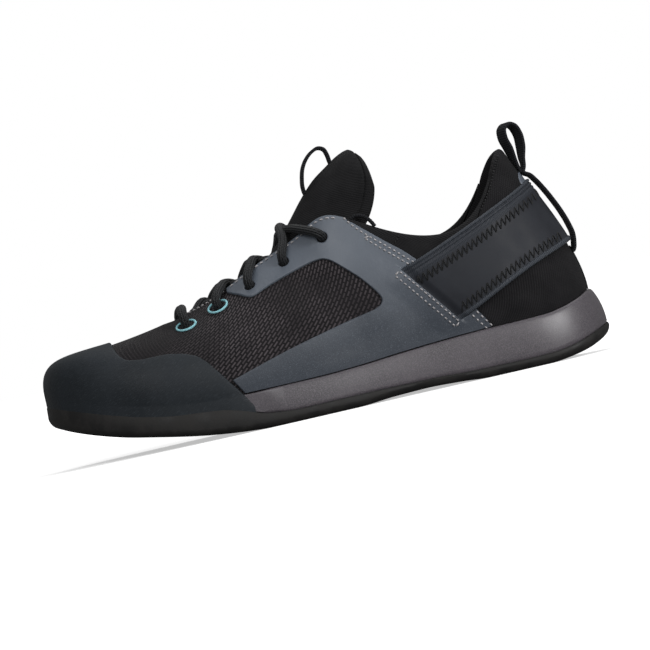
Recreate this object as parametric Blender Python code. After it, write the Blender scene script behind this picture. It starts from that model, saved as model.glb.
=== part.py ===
"""Approach shoe for the left foot, EU 42, standing flat and empty on its sole.

Frame: toe towards -X, heel towards +X, outer (lateral) side towards -Y, +Z up.
The origin lies under the middle of the shoe, on the floor. Tables and lengths are in
millimetres, and meshes are scaled to metres when they are made.
A place on the upper is named by s and t: s runs once round the shoe, from the toe (0)
by the lateral side to the heel (0.5) and back by the medial side, and t runs up the
wall from the sole (0) to the top edge (1).
"""
import math

import bmesh
import bpy
import numpy as np

MM = 0.001
GAP = 0.3

# Driving sizes: length of the sole, width at the ball, height of the heel's top edge
SHOE_LENGTH = 290.0
BALL_WIDTH = 102.0
HEEL_HEIGHT = 111.8
# Sizes at which the tables below are drawn; the tables follow the driving sizes
DRAWN_LENGTH = 290.0
DRAWN_WIDTH = 102.0
DRAWN_HEIGHT = 111.8

UPPER_WALL = 1.9
COLLAR_WALL = 4.6
# Where the wall thickens into the collar: from one x of the top edge to another, and from
# one height t to another. The top edge is rounded up by a share of the wall.
COLLAR_X = (12.0, 45.0)
COLLAR_T = (0.35, 0.85)
COLLAR_ROUND = 0.25
INSOLE_THICKNESS = 3.6
INSOLE_GAP = 0.5
INSOLE_BEVEL = 0.8
RAND_GAP = 0.8
RAND_THICKNESS = 1.8
RAND_EDGE_THICKNESS = 0.9
RAND_FOOT_GAP = 0.45
# The rand thins by a share between these two x, towards its rear ends
RAND_THINNING = 0.45
RAND_THIN_X = (-62.0, -42.0)
# The rand's least height there, and its rows of points up the wall
RAND_LOWEST = 1.2
RAND_ROWS = 8
QUARTER_GAP = 0.45
QUARTER_THICKNESS = 1.2
STRAP_THICKNESS = 2.2
# Between these two x the strap comes down from the overlay to the upper
STRAP_SETTLES_X = (92.0, 108.0)
LACE_RADIUS = 2.0
RING_RADIUS = 5.0
RING_THREAD = 0.6
# Outsole's rim, from its lower edge up: inset, height over the underside
OUTSOLE_RIM = [(2.4, 0.0), (0.5, 1.6), (0.0, 3.4)]
OUTSOLE_TOP_INSET = 0.5
# Heights of the midsole's rings, as shares, and the size and power of its side's swell
MIDSOLE_SHARES = (0.35, 0.7, 0.9, 1.0)
MIDSOLE_LOW_INSET = 0.7
MIDSOLE_SWELL_DEPTH = 2.6
MIDSOLE_SWELL_POWER = 2.2
TREAD_DEPTH = 2.2
TREAD_RIM = 7.0
# Tread under the forefoot and under the heel, each from one s to another
TREAD_FIELDS = ((0.115, 0.255), (0.33, 0.462))
LUG_RADIUS = 6.5
LUG_SIDES = 6
LUG_PITCH = 21.0
LUG_MARGIN = 2.0
# Rows of lugs: their pitch, and the distance of the first and last from the field's ends,
# in pitches across
LUG_ROW_PITCH = 0.92
LUG_FIRST_ROW = 0.6
LUG_LAST_ROW = 0.4
WEB_WIDTH = 10.0
WEB_THICKNESS = 1.8
TONGUE_LOOP_WIDTH = 8.0
TONGUE_LOOP_THICKNESS = 1.7

# Samples round the shoe: this many between two stations of the section table
SAMPLES_PER_STATION = 3


def sized(rows, kinds):
    """Table at the driving sizes; kinds names each column's direction: x, y, z or . for none."""
    scale = {"x": SHOE_LENGTH / DRAWN_LENGTH, "y": BALL_WIDTH / DRAWN_WIDTH,
             "z": HEEL_HEIGHT / DRAWN_HEIGHT, ".": 1.0}
    return [tuple(value * scale[kind] for value, kind in zip(row, kinds)) for row in rows]


# One row for each station round the shoe.
# x, y: edge of the sole seen from above. tx, ty, tz: top edge of the upper.
# low, lean: reach and outward lean of the wall above the sole.
# high, slope: reach and steepness of the wall below the top edge.
SECTIONS = sized([
    # x      y      tx     ty     tz    low  lean  high slope
    (-145.0, 8.0, -77.9, 1.5, 61.9, 24.0, 1.5, 52.0, 11.5),      # toe
    (-141.5, -8.0, -77.2, -2.6, 62.1, 23.5, 2.0, 50.0, 12.0),
    (-130.0, -23.5, -75.4, -5.8, 62.4, 22.0, 3.0, 43.0, 14.0),
    (-109.5, -37.5, -72.0, -8.2, 62.9, 21.0, 6.0, 34.0, 18.0),
    (-82.0, -47.5, -63.2, -9.9, 64.9, 22.0, 8.0, 30.0, 21.0),
    (-50.0, -51.1, -45.9, -11.3, 70.6, 24.0, 8.0, 30.0, 28.0),   # lateral ball
    (-19.0, -49.0, -24.1, -13.4, 81.2, 26.0, 6.0, 32.0, 39.0),
    (13.0, -43.5, -2.6, -18.2, 90.5, 28.0, 4.0, 33.0, 54.0),
    (46.0, -38.8, 14.7, -24.5, 96.9, 28.0, 3.0, 34.0, 68.0),
    (78.0, -36.8, 40.8, -30.5, 82.6, 22.0, 4.0, 22.0, 82.0),     # lateral waist
    (108.0, -34.8, 72.3, -31.0, 75.2, 20.0, 5.0, 20.0, 84.0),
    (130.0, -26.0, 94.0, -25.5, 90.2, 22.0, 4.0, 24.0, 78.0),
    (142.0, -11.5, 105.6, -14.0, 107.6, 22.0, 3.0, 27.0, 70.0),
    (145.0, 0.0, 110.6, 0.0, 111.8, 20.0, 2.0, 28.0, 68.0),      # heel
    (142.0, 11.5, 105.6, 14.0, 107.6, 22.0, 3.0, 27.0, 70.0),
    (130.0, 26.0, 94.0, 25.5, 90.2, 22.0, 4.0, 24.0, 78.0),
    (108.0, 34.8, 72.3, 31.0, 75.6, 20.0, 4.0, 20.0, 84.0),
    (78.0, 35.6, 40.8, 30.5, 83.0, 24.0, 2.0, 22.0, 82.0),
    (46.0, 32.6, 14.7, 24.5, 96.9, 30.0, 6.0, 34.0, 68.0),       # medial arch
    (13.0, 33.6, -2.6, 19.2, 90.5, 28.0, 9.0, 33.0, 54.0),
    (-19.0, 40.5, -24.1, 15.4, 81.2, 26.0, 9.0, 32.0, 39.0),
    (-52.0, 48.5, -45.9, 13.7, 70.6, 24.0, 8.0, 30.0, 28.0),     # medial ball
    (-82.0, 50.9, -63.2, 12.5, 64.9, 22.0, 7.0, 30.0, 21.0),
    (-109.5, 46.0, -72.0, 11.0, 62.9, 21.0, 5.0, 34.0, 18.0),
    (-130.0, 36.0, -75.4, 8.7, 62.4, 22.0, 3.0, 43.0, 14.0),
    (-141.5, 23.5, -77.2, 5.6, 62.1, 23.5, 2.0, 50.0, 12.0),
], "xyxyzz.z.")

# Heights along the shoe, seen from the side: x, z
SOLE_BOTTOM = sized([
    (-146, 24.8), (-140, 21.4), (-132, 17.8), (-120, 13.6), (-108, 10.3), (-96, 7.8),
    (-84, 5.4), (-72, 3.3), (-60, 1.7), (-49, 0.6), (-38, 0.0), (6, 0.0), (26, 1.3),
    (44, 1.7), (61, 1.0), (75, 0.0), (107, 0.0), (118, 1.1), (128, 3.0), (136, 5.5), (146, 9.6),
], "xz")
OUTSOLE_TOP = sized([
    (-146, 34.1), (-137, 30.8), (-125, 26.6), (-112, 22.4), (-98, 18.6), (-84, 16.1),
    (-69, 14.7), (-61, 13.8), (-51, 11.2), (-39, 7.4), (-22, 5.9), (13, 6.1), (47, 5.8),
    (69, 5.0), (93, 4.8), (108, 5.1), (117, 6.1), (125, 7.8), (135, 10.9), (146, 14.3),
], "xz")
MIDSOLE_TOP = sized([
    (-146, 38.5), (-131, 33.1), (-116, 28.5), (-102, 24.7), (-82, 21.0), (-63, 19.2),
    (-34, 19.0), (-10, 19.1), (12, 20.0), (34, 21.7), (56, 23.1), (76, 24.0), (98, 24.4),
    (110, 24.8), (118, 26.0), (125, 27.7), (132, 30.1), (136, 31.7), (146, 33.2),
], "xz")

# How far the upper's foot stands inside the edge of the sole: x, inset
UPPER_INSET = [(-146, 3.0), (-62, 3.0), (-30, 4.6), (100, 5.0), (125, 5.6), (146, 7.3)]
# How far the midsole's side swells outside the upper's foot, from 0 to 1: x, share
MIDSOLE_SWELL = [(-146, 0.0), (-42, 0.0), (-27, 1.0), (146, 1.0)]

# Upper edge of the toe rand, seen from the side: x, z. In front of the first row it
# covers the whole toe.
RAND_EDGE = sized([
    (-106.4, 59.5), (-105.6, 54.5), (-103.5, 50.0), (-99.3, 47.2), (-91.4, 46.2),
    (-83.6, 46.2), (-74.8, 45.0), (-68.0, 42.6), (-63.3, 38.9), (-58.7, 32.9),
    (-53.2, 25.1), (-48.9, 19.2), (-42.7, 9.0),
], "xz")
RAND_REAR_END = -44.6


def ring_curve(values):
    """Smooth closed curve through numbers given at equal steps of s."""
    points = np.asarray(values, float)
    count = len(points)
    identity = np.eye(count)
    system = 4 * identity + np.roll(identity, 1, axis=1) + np.roll(identity, -1, axis=1)
    bend = np.roll(points, 1) - 2 * points + np.roll(points, -1)
    second = np.linalg.solve(system, 6 * bend)

    def value(s):
        place = (np.asarray(s, float) % 1.0) * count
        first = np.floor(place).astype(int) % count
        after = (first + 1) % count
        part = place - np.floor(place)
        rest = 1 - part
        straight = rest * points[first] + part * points[after]
        return straight + (rest**3 - rest) * second[first] / 6 + (part**3 - part) * second[after] / 6

    return value


def profile(table):
    """Smooth curve through (x, z) rows that never swings past them."""
    xs = np.array([row[0] for row in table], float)
    zs = np.array([row[1] for row in table], float)
    steps = np.diff(xs)
    rises = np.diff(zs) / steps
    slopes = np.zeros(len(xs))
    slopes[0] = rises[0]
    slopes[-1] = rises[-1]
    for i in range(1, len(xs) - 1):
        if rises[i - 1] * rises[i] > 0:
            slopes[i] = 2 * rises[i - 1] * rises[i] / (rises[i - 1] + rises[i])

    def value(x):
        x = np.clip(np.asarray(x, float), xs[0], xs[-1])
        i = np.clip(np.searchsorted(xs, x, side="right") - 1, 0, len(steps) - 1)
        u = (x - xs[i]) / steps[i]
        start = (1 + 2 * u) * (1 - u) ** 2 * zs[i] + u * (1 - u) ** 2 * steps[i] * slopes[i]
        end = u * u * (3 - 2 * u) * zs[i + 1] + u * u * (u - 1) * steps[i] * slopes[i + 1]
        return start + end

    return value


STATION_COUNT = len(SECTIONS)
RING_COUNT = STATION_COUNT * SAMPLES_PER_STATION
SECTION_CURVES = [ring_curve([row[c] for row in SECTIONS]) for c in range(9)]
sole_bottom = profile(SOLE_BOTTOM)
outsole_top = profile(OUTSOLE_TOP)
midsole_top = profile(MIDSOLE_TOP)
upper_inset = profile(UPPER_INSET)
midsole_swell = profile(MIDSOLE_SWELL)
rand_edge = profile(RAND_EDGE)


def stack(x, y, z):
    return np.stack(np.broadcast_arrays(x, y, z), axis=-1)


def outline(s, inset=0.0):
    """Edge of the sole seen from above, moved inwards by inset, and its outward direction."""
    s = np.asarray(s, float)
    step = 0.002
    x, y = SECTION_CURVES[0](s), SECTION_CURVES[1](s)
    dx = SECTION_CURVES[0](s + step) - SECTION_CURVES[0](s - step)
    dy = SECTION_CURVES[1](s + step) - SECTION_CURVES[1](s - step)
    length = np.hypot(dx, dy)
    nx, ny = dy / length, -dx / length
    return x - inset * nx, y - inset * ny, nx, ny


def feather(s):
    """Foot of the upper on the midsole."""
    x, _, _, _ = outline(s)
    fx, fy, nx, ny = outline(s, upper_inset(x))
    return fx, fy, midsole_top(fx) + GAP, nx, ny


def skin(s, t):
    """Outer face of the upper: one cubic arch from the sole to the top edge."""
    s, t = np.broadcast_arrays(np.asarray(s, float), np.asarray(t, float))
    fx, fy, fz, nx, ny = feather(s)
    tx, ty, tz, low, lean, high, slope = [curve(s) for curve in SECTION_CURVES[2:]]
    lean, slope = np.radians(lean), np.radians(slope)
    foot = stack(fx, fy, fz)
    top = stack(tx, ty, tz)
    rise = foot + stack(low * np.sin(lean) * nx, low * np.sin(lean) * ny, low * np.cos(lean))
    fall = top + stack(high * np.cos(slope) * nx, high * np.cos(slope) * ny, -high * np.sin(slope))
    u = t[..., None]
    return (1 - u) ** 3 * foot + 3 * u * (1 - u) ** 2 * rise + 3 * u * u * (1 - u) * fall + u**3 * top


def skin_normal(s, t):
    s, t = np.broadcast_arrays(np.asarray(s, float), np.asarray(t, float))
    ds, dt = 0.002, 0.01
    along = skin(s + ds, t) - skin(s - ds, t)
    upwards = skin(s, np.minimum(t + dt, 1.0)) - skin(s, np.maximum(t - dt, 0.0))
    normal = np.cross(along, upwards)
    return normal / np.linalg.norm(normal, axis=-1, keepdims=True)


def shell(s, t, offset):
    """The upper's outer face moved outwards by offset."""
    offset = np.asarray(offset, float)
    return skin(s, t) + skin_normal(s, t) * offset[..., None]


def ease(value, start, end):
    """Soft step from 0 at start to 1 at end."""
    part = np.clip((np.asarray(value, float) - start) / (end - start), 0.0, 1.0)
    return part * part * (3 - 2 * part)


def wall(s, t):
    """Thickness of the upper: thin knit in front, padded at the collar."""
    top_x = SECTION_CURVES[2](s)
    padded = ease(top_x, *COLLAR_X) * ease(t, *COLLAR_T)
    return UPPER_WALL + (COLLAR_WALL - UPPER_WALL) * padded


def find_skin(x, z, side):
    """s and t of the outer face at x, z seen from the side; side is -1 lateral, 1 medial."""
    best = (1e9, 0.0, 0.0)
    low_s, high_s, low_t, high_t = 0.02, 0.48, 0.0, 1.0
    for _ in range(7):
        ss, tt = np.meshgrid(np.linspace(low_s, high_s, 25), np.linspace(low_t, high_t, 25))
        places = skin(ss if side < 0 else 1 - ss, tt)
        miss = (places[..., 0] - x) ** 2 + (places[..., 2] - z) ** 2
        k = np.unravel_index(np.argmin(miss), miss.shape)
        best = (float(miss[k]), float(ss[k]), float(tt[k]))
        reach_s, reach_t = (high_s - low_s) / 8, (high_t - low_t) / 8
        low_s, high_s = max(best[1] - reach_s, 0.0), min(best[1] + reach_s, 0.5)
        low_t, high_t = max(best[2] - reach_t, 0.0), min(best[2] + reach_t, 1.0)
    return (best[1] if side < 0 else 1 - best[1]), best[2]


# Mesh helpers

def material(name, colour, roughness):
    paint = bpy.data.materials.new(name)
    paint.use_nodes = True
    shader = paint.node_tree.nodes["Principled BSDF"]
    shader.inputs["Base Color"].default_value = (*colour, 1.0)
    shader.inputs["Roughness"].default_value = roughness
    shader.inputs["Metallic"].default_value = 0.0
    return paint


def make_object(name, points, faces, paint=None):
    """Mesh object from points in millimetres, with its faces turned outwards."""
    mesh = bpy.data.meshes.new(name)
    mesh.from_pydata([tuple(float(v) * MM for v in p) for p in points], [], faces)
    work = bmesh.new()
    work.from_mesh(mesh)
    bmesh.ops.recalc_face_normals(work, faces=work.faces)
    work.to_mesh(mesh)
    work.free()
    thing = bpy.data.objects.new(name, mesh)
    bpy.context.scene.collection.objects.link(thing)
    if paint is not None:
        mesh.materials.append(paint)
        mesh.shade_smooth()
        mesh.set_sharp_from_angle(angle=math.radians(40))
    return thing


def grid_faces(rows, columns, wrap_rows=False, wrap_columns=False):
    """Quads of a grid whose points are stored row after row."""
    faces = []
    for i in range(rows if wrap_rows else rows - 1):
        for j in range(columns if wrap_columns else columns - 1):
            a, b = i * columns + j, i * columns + (j + 1) % columns
            c = ((i + 1) % rows) * columns + (j + 1) % columns
            d = ((i + 1) % rows) * columns + j
            faces.append((a, b, c, d))
    return faces


def slab(outer, inner):
    """Closed solid between two grids of the same size."""
    rows, columns = outer.shape[:2]
    count = rows * columns
    points = list(outer.reshape(-1, 3)) + list(inner.reshape(-1, 3))
    faces = grid_faces(rows, columns)
    faces += [tuple(count + v for v in reversed(face)) for face in grid_faces(rows, columns)]
    border = [j for j in range(columns)]
    border += [i * columns + columns - 1 for i in range(1, rows)]
    border += [(rows - 1) * columns + j for j in range(columns - 2, -1, -1)]
    border += [i * columns for i in range(rows - 2, 0, -1)]
    for a, b in zip(border, border[1:] + border[:1]):
        faces.append((b, a, count + a, count + b))
    return points, faces


def cap(points, faces, ids, height, across, upwards):
    """Closes a ring of the sole with rungs from its lateral to its medial half."""
    count = len(ids)
    rungs = []
    for j in range(1, count // 2):
        start, end = points[ids[j]], points[ids[count - j]]
        rung = [ids[j]]
        for k in range(1, across):
            place = start + (end - start) * k / across
            rung.append(len(points))
            points.append(np.array([place[0], place[1], float(height(place[0]))]))
        rung.append(ids[count - j])
        rungs.append(rung)
    made = []
    for low, high in zip(rungs, rungs[1:]):
        made += [(low[k], high[k], high[k + 1], low[k + 1]) for k in range(across)]
    made += [(ids[0], rungs[0][k], rungs[0][k + 1]) for k in range(across)]
    made += [(rungs[-1][k], ids[count // 2], rungs[-1][k + 1]) for k in range(across)]
    faces += made if upwards else [tuple(reversed(face)) for face in made]


def ring_solid(rings, low_height, high_height, across=1):
    """Closed solid from rings round the shoe, lowest first, with both ends capped."""
    count = len(rings[0])
    points = [np.array(p, float) for ring in rings for p in ring]
    faces = grid_faces(len(rings), count, wrap_columns=True)
    cap(points, faces, list(range(count)), low_height, across, False)
    last = (len(rings) - 1) * count
    cap(points, faces, [last + j for j in range(count)], high_height, across, True)
    return points, faces


def sole_ring(inset, height, lift=0.0):
    """Ring round the sole at a height given as a function of x."""
    s = np.arange(RING_COUNT) / RING_COUNT
    x, _, _, _ = outline(s)
    inset = inset(x) if callable(inset) else inset
    x, y, _, _ = outline(s, inset)
    return stack(x, y, height(x) + lift)


def boolean(target, tool, operation):
    """Applies one Boolean to the target and deletes the tool."""
    cut = target.modifiers.new("cut", "BOOLEAN")
    cut.operation = operation
    cut.solver = "EXACT"
    cut.object = tool
    depsgraph = bpy.context.evaluated_depsgraph_get()
    mesh = bpy.data.meshes.new_from_object(target.evaluated_get(depsgraph))
    target.modifiers.remove(cut)
    target.data = mesh
    bpy.data.objects.remove(tool)


def side_prism(points, near, far):
    """Prism of an outline seen from the side, from y near to y far."""
    count = len(points)
    corners = [(x, near, z) for x, z in points] + [(x, far, z) for x, z in points]
    faces = [tuple(range(count)), tuple(range(2 * count - 1, count - 1, -1))]
    faces += [(i, (i + 1) % count, count + (i + 1) % count, count + i) for i in range(count)]
    return make_object("prism", corners, faces)


def soft_outline(rows, steps=3):
    """Closed outline through (x, z, corner) rows: soft at 0, sharp at 1."""
    count = len(rows)
    places = [np.array(row[:2], float) for row in rows]
    path = []
    for i in range(count):
        a, b = places[i], places[(i + 1) % count]
        before = a if rows[i][2] else places[i - 1]
        after = b if rows[(i + 1) % count][2] else places[(i + 2) % count]
        for k in range(steps):
            u = k / steps
            curve = 2 * a + (b - before) * u + (2 * before - 5 * a + 4 * b - after) * u * u
            curve = curve + (3 * a - before - 3 * b + after) * u**3
            path.append(tuple(curve / 2))
            if np.linalg.norm(b - a) < 3.0 or (rows[i][2] and rows[(i + 1) % count][2]):
                break
    return path


def tube(path, radius, sides=6):
    """Closed round bar along a path, with flat ends."""
    path = np.asarray(path, float)
    tangents = np.gradient(path, axis=0)
    tangents /= np.linalg.norm(tangents, axis=1, keepdims=True)
    side = np.cross(tangents[0], (0.0, 0.0, 1.0))
    points = []
    for place, tangent in zip(path, tangents):
        side = side - tangent * np.dot(side, tangent)
        side = side / np.linalg.norm(side)
        rise = np.cross(side, tangent)
        for k in range(sides):
            angle = 2 * math.pi * (k + 0.5) / sides
            points.append(place + radius * (math.cos(angle) * side + math.sin(angle) * rise))
    faces = grid_faces(len(path), sides, wrap_columns=True)
    faces.append(tuple(range(sides)))
    faces.append(tuple(range(len(points) - 1, len(points) - 1 - sides, -1)))
    return points, faces


def smooth_path(points, count):
    """Evenly numbered points on a soft curve through the given ones."""
    points = np.asarray(points, float)
    reach = np.concatenate([[0.0], np.cumsum(np.linalg.norm(np.diff(points, axis=0), axis=1))])
    slopes = np.gradient(points, reach, axis=0)
    result = []
    for place in np.linspace(0.0, reach[-1], count):
        i = min(int(np.searchsorted(reach, place, side="right")) - 1, len(points) - 2)
        span = reach[i + 1] - reach[i]
        u = (place - reach[i]) / span
        start = (1 + 2 * u) * (1 - u) ** 2 * points[i] + u * (1 - u) ** 2 * span * slopes[i]
        end = u * u * (3 - 2 * u) * points[i + 1] + u * u * (u - 1) * span * slopes[i + 1]
        result.append(start + end)
    return np.array(result)


def ribbon(path, width, thickness, closed=False, turn=None):
    """Flat band across the shoe that follows a path of (x, z) points at its middle.

    turn gives its twist at a height, in degrees, about the upright line through its start.
    """
    path = np.asarray(path, float)
    if closed:
        ahead, behind = np.roll(path, -1, axis=0), np.roll(path, 1, axis=0)
        tangents = ahead - behind
    else:
        tangents = np.gradient(path, axis=0)
    tangents /= np.linalg.norm(tangents, axis=1, keepdims=True)
    points = []
    for (x, z), (dx, dz) in zip(path, tangents):
        angle = math.radians(turn(z)) if turn else 0.0
        c, s = math.cos(angle), math.sin(angle)
        for side, across in ((1, -1), (1, 1), (-1, 1), (-1, -1)):
            ahead = x - side * dz * thickness / 2 - path[0, 0]
            aside = across * width / 2
            points.append((path[0, 0] + ahead * c - aside * s, ahead * s + aside * c,
                           z + side * dx * thickness / 2))
    faces = grid_faces(len(path), 4, wrap_rows=closed, wrap_columns=True)
    if not closed:
        faces.append((0, 1, 2, 3))
        faces.append(tuple(range(len(points) - 1, len(points) - 5, -1)))
    return points, faces


# Pieces

def build_outsole(paint):
    """Rubber outsole with its rim, toe spring, arch and main lugs."""
    rings = [sole_ring(inset, sole_bottom, rise) for inset, rise in OUTSOLE_RIM]
    rings.append(sole_ring(OUTSOLE_TOP_INSET, outsole_top))
    points, faces = ring_solid(rings, sole_bottom, outsole_top, across=2)
    sole = make_object("outsole", points, faces, paint)
    for first, last in TREAD_FIELDS:
        boolean(sole, build_tread(first, last), "DIFFERENCE")
    return sole


def build_tread(first, last):
    """Space between the lugs of one tread field, from s = first to s = last."""
    s = np.linspace(first, last, 9)
    depth = []
    for rail in (s, 1 - s):
        x, y, _, _ = outline(rail, TREAD_RIM)
        depth.append((x, y))
    across = np.linspace(0.0, 1.0, 5)
    x = depth[0][0][:, None] * (1 - across) + depth[1][0][:, None] * across
    y = depth[0][1][:, None] * (1 - across) + depth[1][1][:, None] * across
    high = stack(x, y, sole_bottom(x) + TREAD_DEPTH)
    low = stack(x, y, np.full_like(x, -4 * TREAD_DEPTH))
    field = make_object("field", *slab(high, low))
    lugs = []
    start, end = float(x.min()), float(x.max())
    row = 0
    place = start + LUG_FIRST_ROW * LUG_PITCH
    while place < end - LUG_LAST_ROW * LUG_PITCH:
        left = float(np.interp(place, x[:, 0], y[:, 0])) + LUG_RADIUS + LUG_MARGIN
        right = float(np.interp(place, x[:, -1], y[:, -1])) - LUG_RADIUS - LUG_MARGIN
        number = max(2, int((right - left) / LUG_PITCH) + (1 + row) % 2)
        for k in range(number):
            lugs.append((place, left + (right - left) * k / (number - 1)))
        place += LUG_ROW_PITCH * LUG_PITCH
        row += 1
    points, faces = [], []
    for lx, ly in lugs:
        base = len(points)
        for z in (-5 * TREAD_DEPTH, 15 * TREAD_DEPTH):
            for k in range(LUG_SIDES):
                angle = 2 * math.pi * k / LUG_SIDES
                points.append((lx + LUG_RADIUS * math.cos(angle), ly + LUG_RADIUS * math.sin(angle), z))
        ring = [base + k for k in range(LUG_SIDES)]
        faces.append(tuple(ring))
        faces.append(tuple(v + LUG_SIDES for v in reversed(ring)))
        for k in range(LUG_SIDES):
            a, b = ring[k], ring[(k + 1) % LUG_SIDES]
            faces.append((a, b, b + LUG_SIDES, a + LUG_SIDES))
    boolean(field, make_object("lugs", points, faces), "DIFFERENCE")
    return field


def midsole_inset(x, share):
    """Inset of the midsole's side at a share of its height."""
    plain = upper_inset(x)
    swollen = MIDSOLE_LOW_INSET + (plain - MIDSOLE_SWELL_DEPTH) * share**MIDSOLE_SWELL_POWER
    return plain + (swollen - plain) * midsole_swell(x)


def build_midsole(paint):
    """Wedge under the whole foot, its side swelling out from the ball to the heel."""
    rings = [sole_ring(lambda x: midsole_inset(x, 0.0), outsole_top, GAP)]
    for share in MIDSOLE_SHARES:
        def height(x, share=share):
            low, high = outsole_top(x) + GAP, midsole_top(x)
            return low + (high - low) * share
        rings.append(sole_ring(lambda x, share=share: midsole_inset(x, share), height))
    points, faces = ring_solid(rings, lambda x: outsole_top(x) + GAP, midsole_top)
    return make_object("midsole", points, faces, paint)


def build_insole(paint):
    """Footbed on the midsole, inside the upper's wall."""
    def inset(x):
        return upper_inset(x) + UPPER_WALL + INSOLE_GAP

    rings = [
        sole_ring(inset, midsole_top, GAP),
        sole_ring(inset, midsole_top, GAP + INSOLE_THICKNESS - INSOLE_BEVEL),
        sole_ring(lambda x: inset(x) + INSOLE_BEVEL, midsole_top, GAP + INSOLE_THICKNESS),
    ]
    points, faces = ring_solid(rings, lambda x: midsole_top(x) + GAP,
                               lambda x: midsole_top(x) + GAP + INSOLE_THICKNESS)
    return make_object("insole", points, faces, paint)


# Rows up the wall on its outer and inner face
OUTER_ROWS = (0.0, 0.1, 0.21, 0.33, 0.45, 0.57, 0.69, 0.8, 0.9, 1.0)
INNER_ROWS = (1.0, 0.81, 0.6, 0.39, 0.18, 0.0)


def build_upper(paint):
    """Hollow upper: outer face, rounded top edge and inner face, open underneath."""
    s = np.arange(RING_COUNT) / RING_COUNT
    rows = [shell(s, t, np.zeros(RING_COUNT)) for t in OUTER_ROWS]
    thickness = wall(s, 1.0)
    upwards = shell(s, 1.0, np.zeros(RING_COUNT)) - shell(s, 0.96, np.zeros(RING_COUNT))
    upwards /= np.linalg.norm(upwards, axis=1, keepdims=True)
    rows.append(shell(s, 1.0, -thickness / 2) + upwards * (COLLAR_ROUND * thickness[:, None]))
    rows += [shell(s, t, -wall(s, t)) for t in INNER_ROWS]
    points = np.concatenate(rows)
    faces = grid_faces(len(rows), RING_COUNT, wrap_rows=True, wrap_columns=True)
    return make_object("upper", points, faces, paint)


def build_rand(paint):
    """Rubber rand round the toe, on the upper and on the midsole's side."""
    reach = np.linspace(0.0, 0.3, 121)
    lateral_end = float(np.interp(RAND_REAR_END, outline(reach)[0], reach))
    medial_end = -float(np.interp(RAND_REAR_END, outline(-reach)[0], reach))
    between = [k / RING_COUNT for k in range(-RING_COUNT, RING_COUNT)
               if medial_end + 0.004 < k / RING_COUNT < lateral_end - 0.004]
    columns = [medial_end] + between + [lateral_end]
    shares = np.linspace(0.0, 1.0, RAND_ROWS)
    outer, inner = [], []
    for s in columns:
        line = rand_line(s, shares)
        outer.append(line[1])
        inner.append(line[0])
    points, faces = slab(np.array(outer), np.array(inner))
    return make_object("toe_rand", points, faces, paint)


def rand_line(s, shares):
    """Inner and outer points of the rand at one s, from the outsole to the rand's edge."""
    fx, fy, fz, nx, ny = (float(v) for v in feather(s))
    foot = float(outsole_top(fx)) + RAND_FOOT_GAP
    t = np.linspace(0.0, 1.0, 201)
    places = skin(s, t)
    inside = (places[:, 0] < RAND_EDGE[0][0]) | (places[:, 2] < rand_edge(places[:, 0]))
    top = t[int(np.argmin(inside))] if not inside.all() else 1.0
    edge = float(rand_edge(fx)) if fx > RAND_EDGE[0][0] else fz + 1
    if edge < fz:
        length = max(edge - foot, RAND_LOWEST)
        heights = foot + length * shares
        ts = None
    else:
        wall_length = fz - foot
        rise = np.concatenate([[0.0], np.cumsum(np.linalg.norm(np.diff(places, axis=0), axis=1))])
        total = wall_length + float(np.interp(top, t, rise))
        run = total * shares
        ts = np.interp(run - wall_length, rise, t)
        heights = np.minimum(foot + run, fz)
    thick = RAND_THICKNESS * (1 - RAND_THINNING * float(ease(fx, *RAND_THIN_X)))
    thick = thick + (RAND_EDGE_THICKNESS - thick) * shares**3
    low = stack(np.full(len(shares), fx), np.full(len(shares), fy), heights)
    out = np.tile([nx, ny, 0.0], (len(shares), 1))
    if ts is not None:
        on_skin = heights >= fz - 1e-6
        low[on_skin] = skin(s, ts[on_skin])
        out[on_skin] = skin_normal(s, ts[on_skin])
    inner, outer = low + out * RAND_GAP, low + out * (RAND_GAP + thick)[:, None]
    for line in (inner, outer):
        line[0, 2] = outsole_top(line[0, 0]) + RAND_FOOT_GAP
    return inner, outer


# Slate overlay, seen from the side: x, z, sharp corner
QUARTER_OUTLINE = sized([
    (-52.7, 27.0, 1), (-47.4, 18.4, 1), (-47.8, 10.0, 1), (84.0, 10.0, 1), (84.2, 21.6, 1),
    (81.7, 23.7, 1), (76.3, 34.2, 0), (52.0, 65.4, 0), (37.0, 79.4, 0), (25.5, 90.0, 0),
    (22.0, 93.6, 0), (20.8, 108.5, 1), (-31.4, 98.4, 1), (-42.7, 78.5, 1), (-43.5, 69.8, 1),
    (-38.6, 67.5, 0), (-32.7, 65.2, 0), (-23.0, 68.7, 0), (-11.2, 72.6, 0), (1.0, 75.7, 0),
    (8.1, 75.2, 0), (15.5, 68.7, 0), (22.3, 61.7, 0), (28.5, 53.3, 0), (29.6, 49.2, 0),
    (25.4, 46.1, 0), (8.7, 42.7, 0), (-22.8, 35.4, 0),
], "xz.")
# Slit where the strap comes out: the two ends of its front edge
SLIT_TOP = (42.5, 62.5)
SLIT_BOTTOM = (66.7, 31.3)
# Strap edges seen from the side: x, z, sharp corner
STRAP_OUTLINE = sized([
    (*SLIT_TOP, 1), (*SLIT_BOTTOM, 1), (75.5, 35.0, 0), (89.7, 41.6, 0), (108.0, 49.4, 0),
    (134.8, 59.0, 0), (150.0, 65.5, 1), (150.0, 111.0, 1), (117.0, 92.8, 0), (99.2, 84.7, 0),
    (81.8, 77.2, 0), (64.7, 70.4, 0), (51.0, 65.3, 0),
], "xz.")


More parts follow.
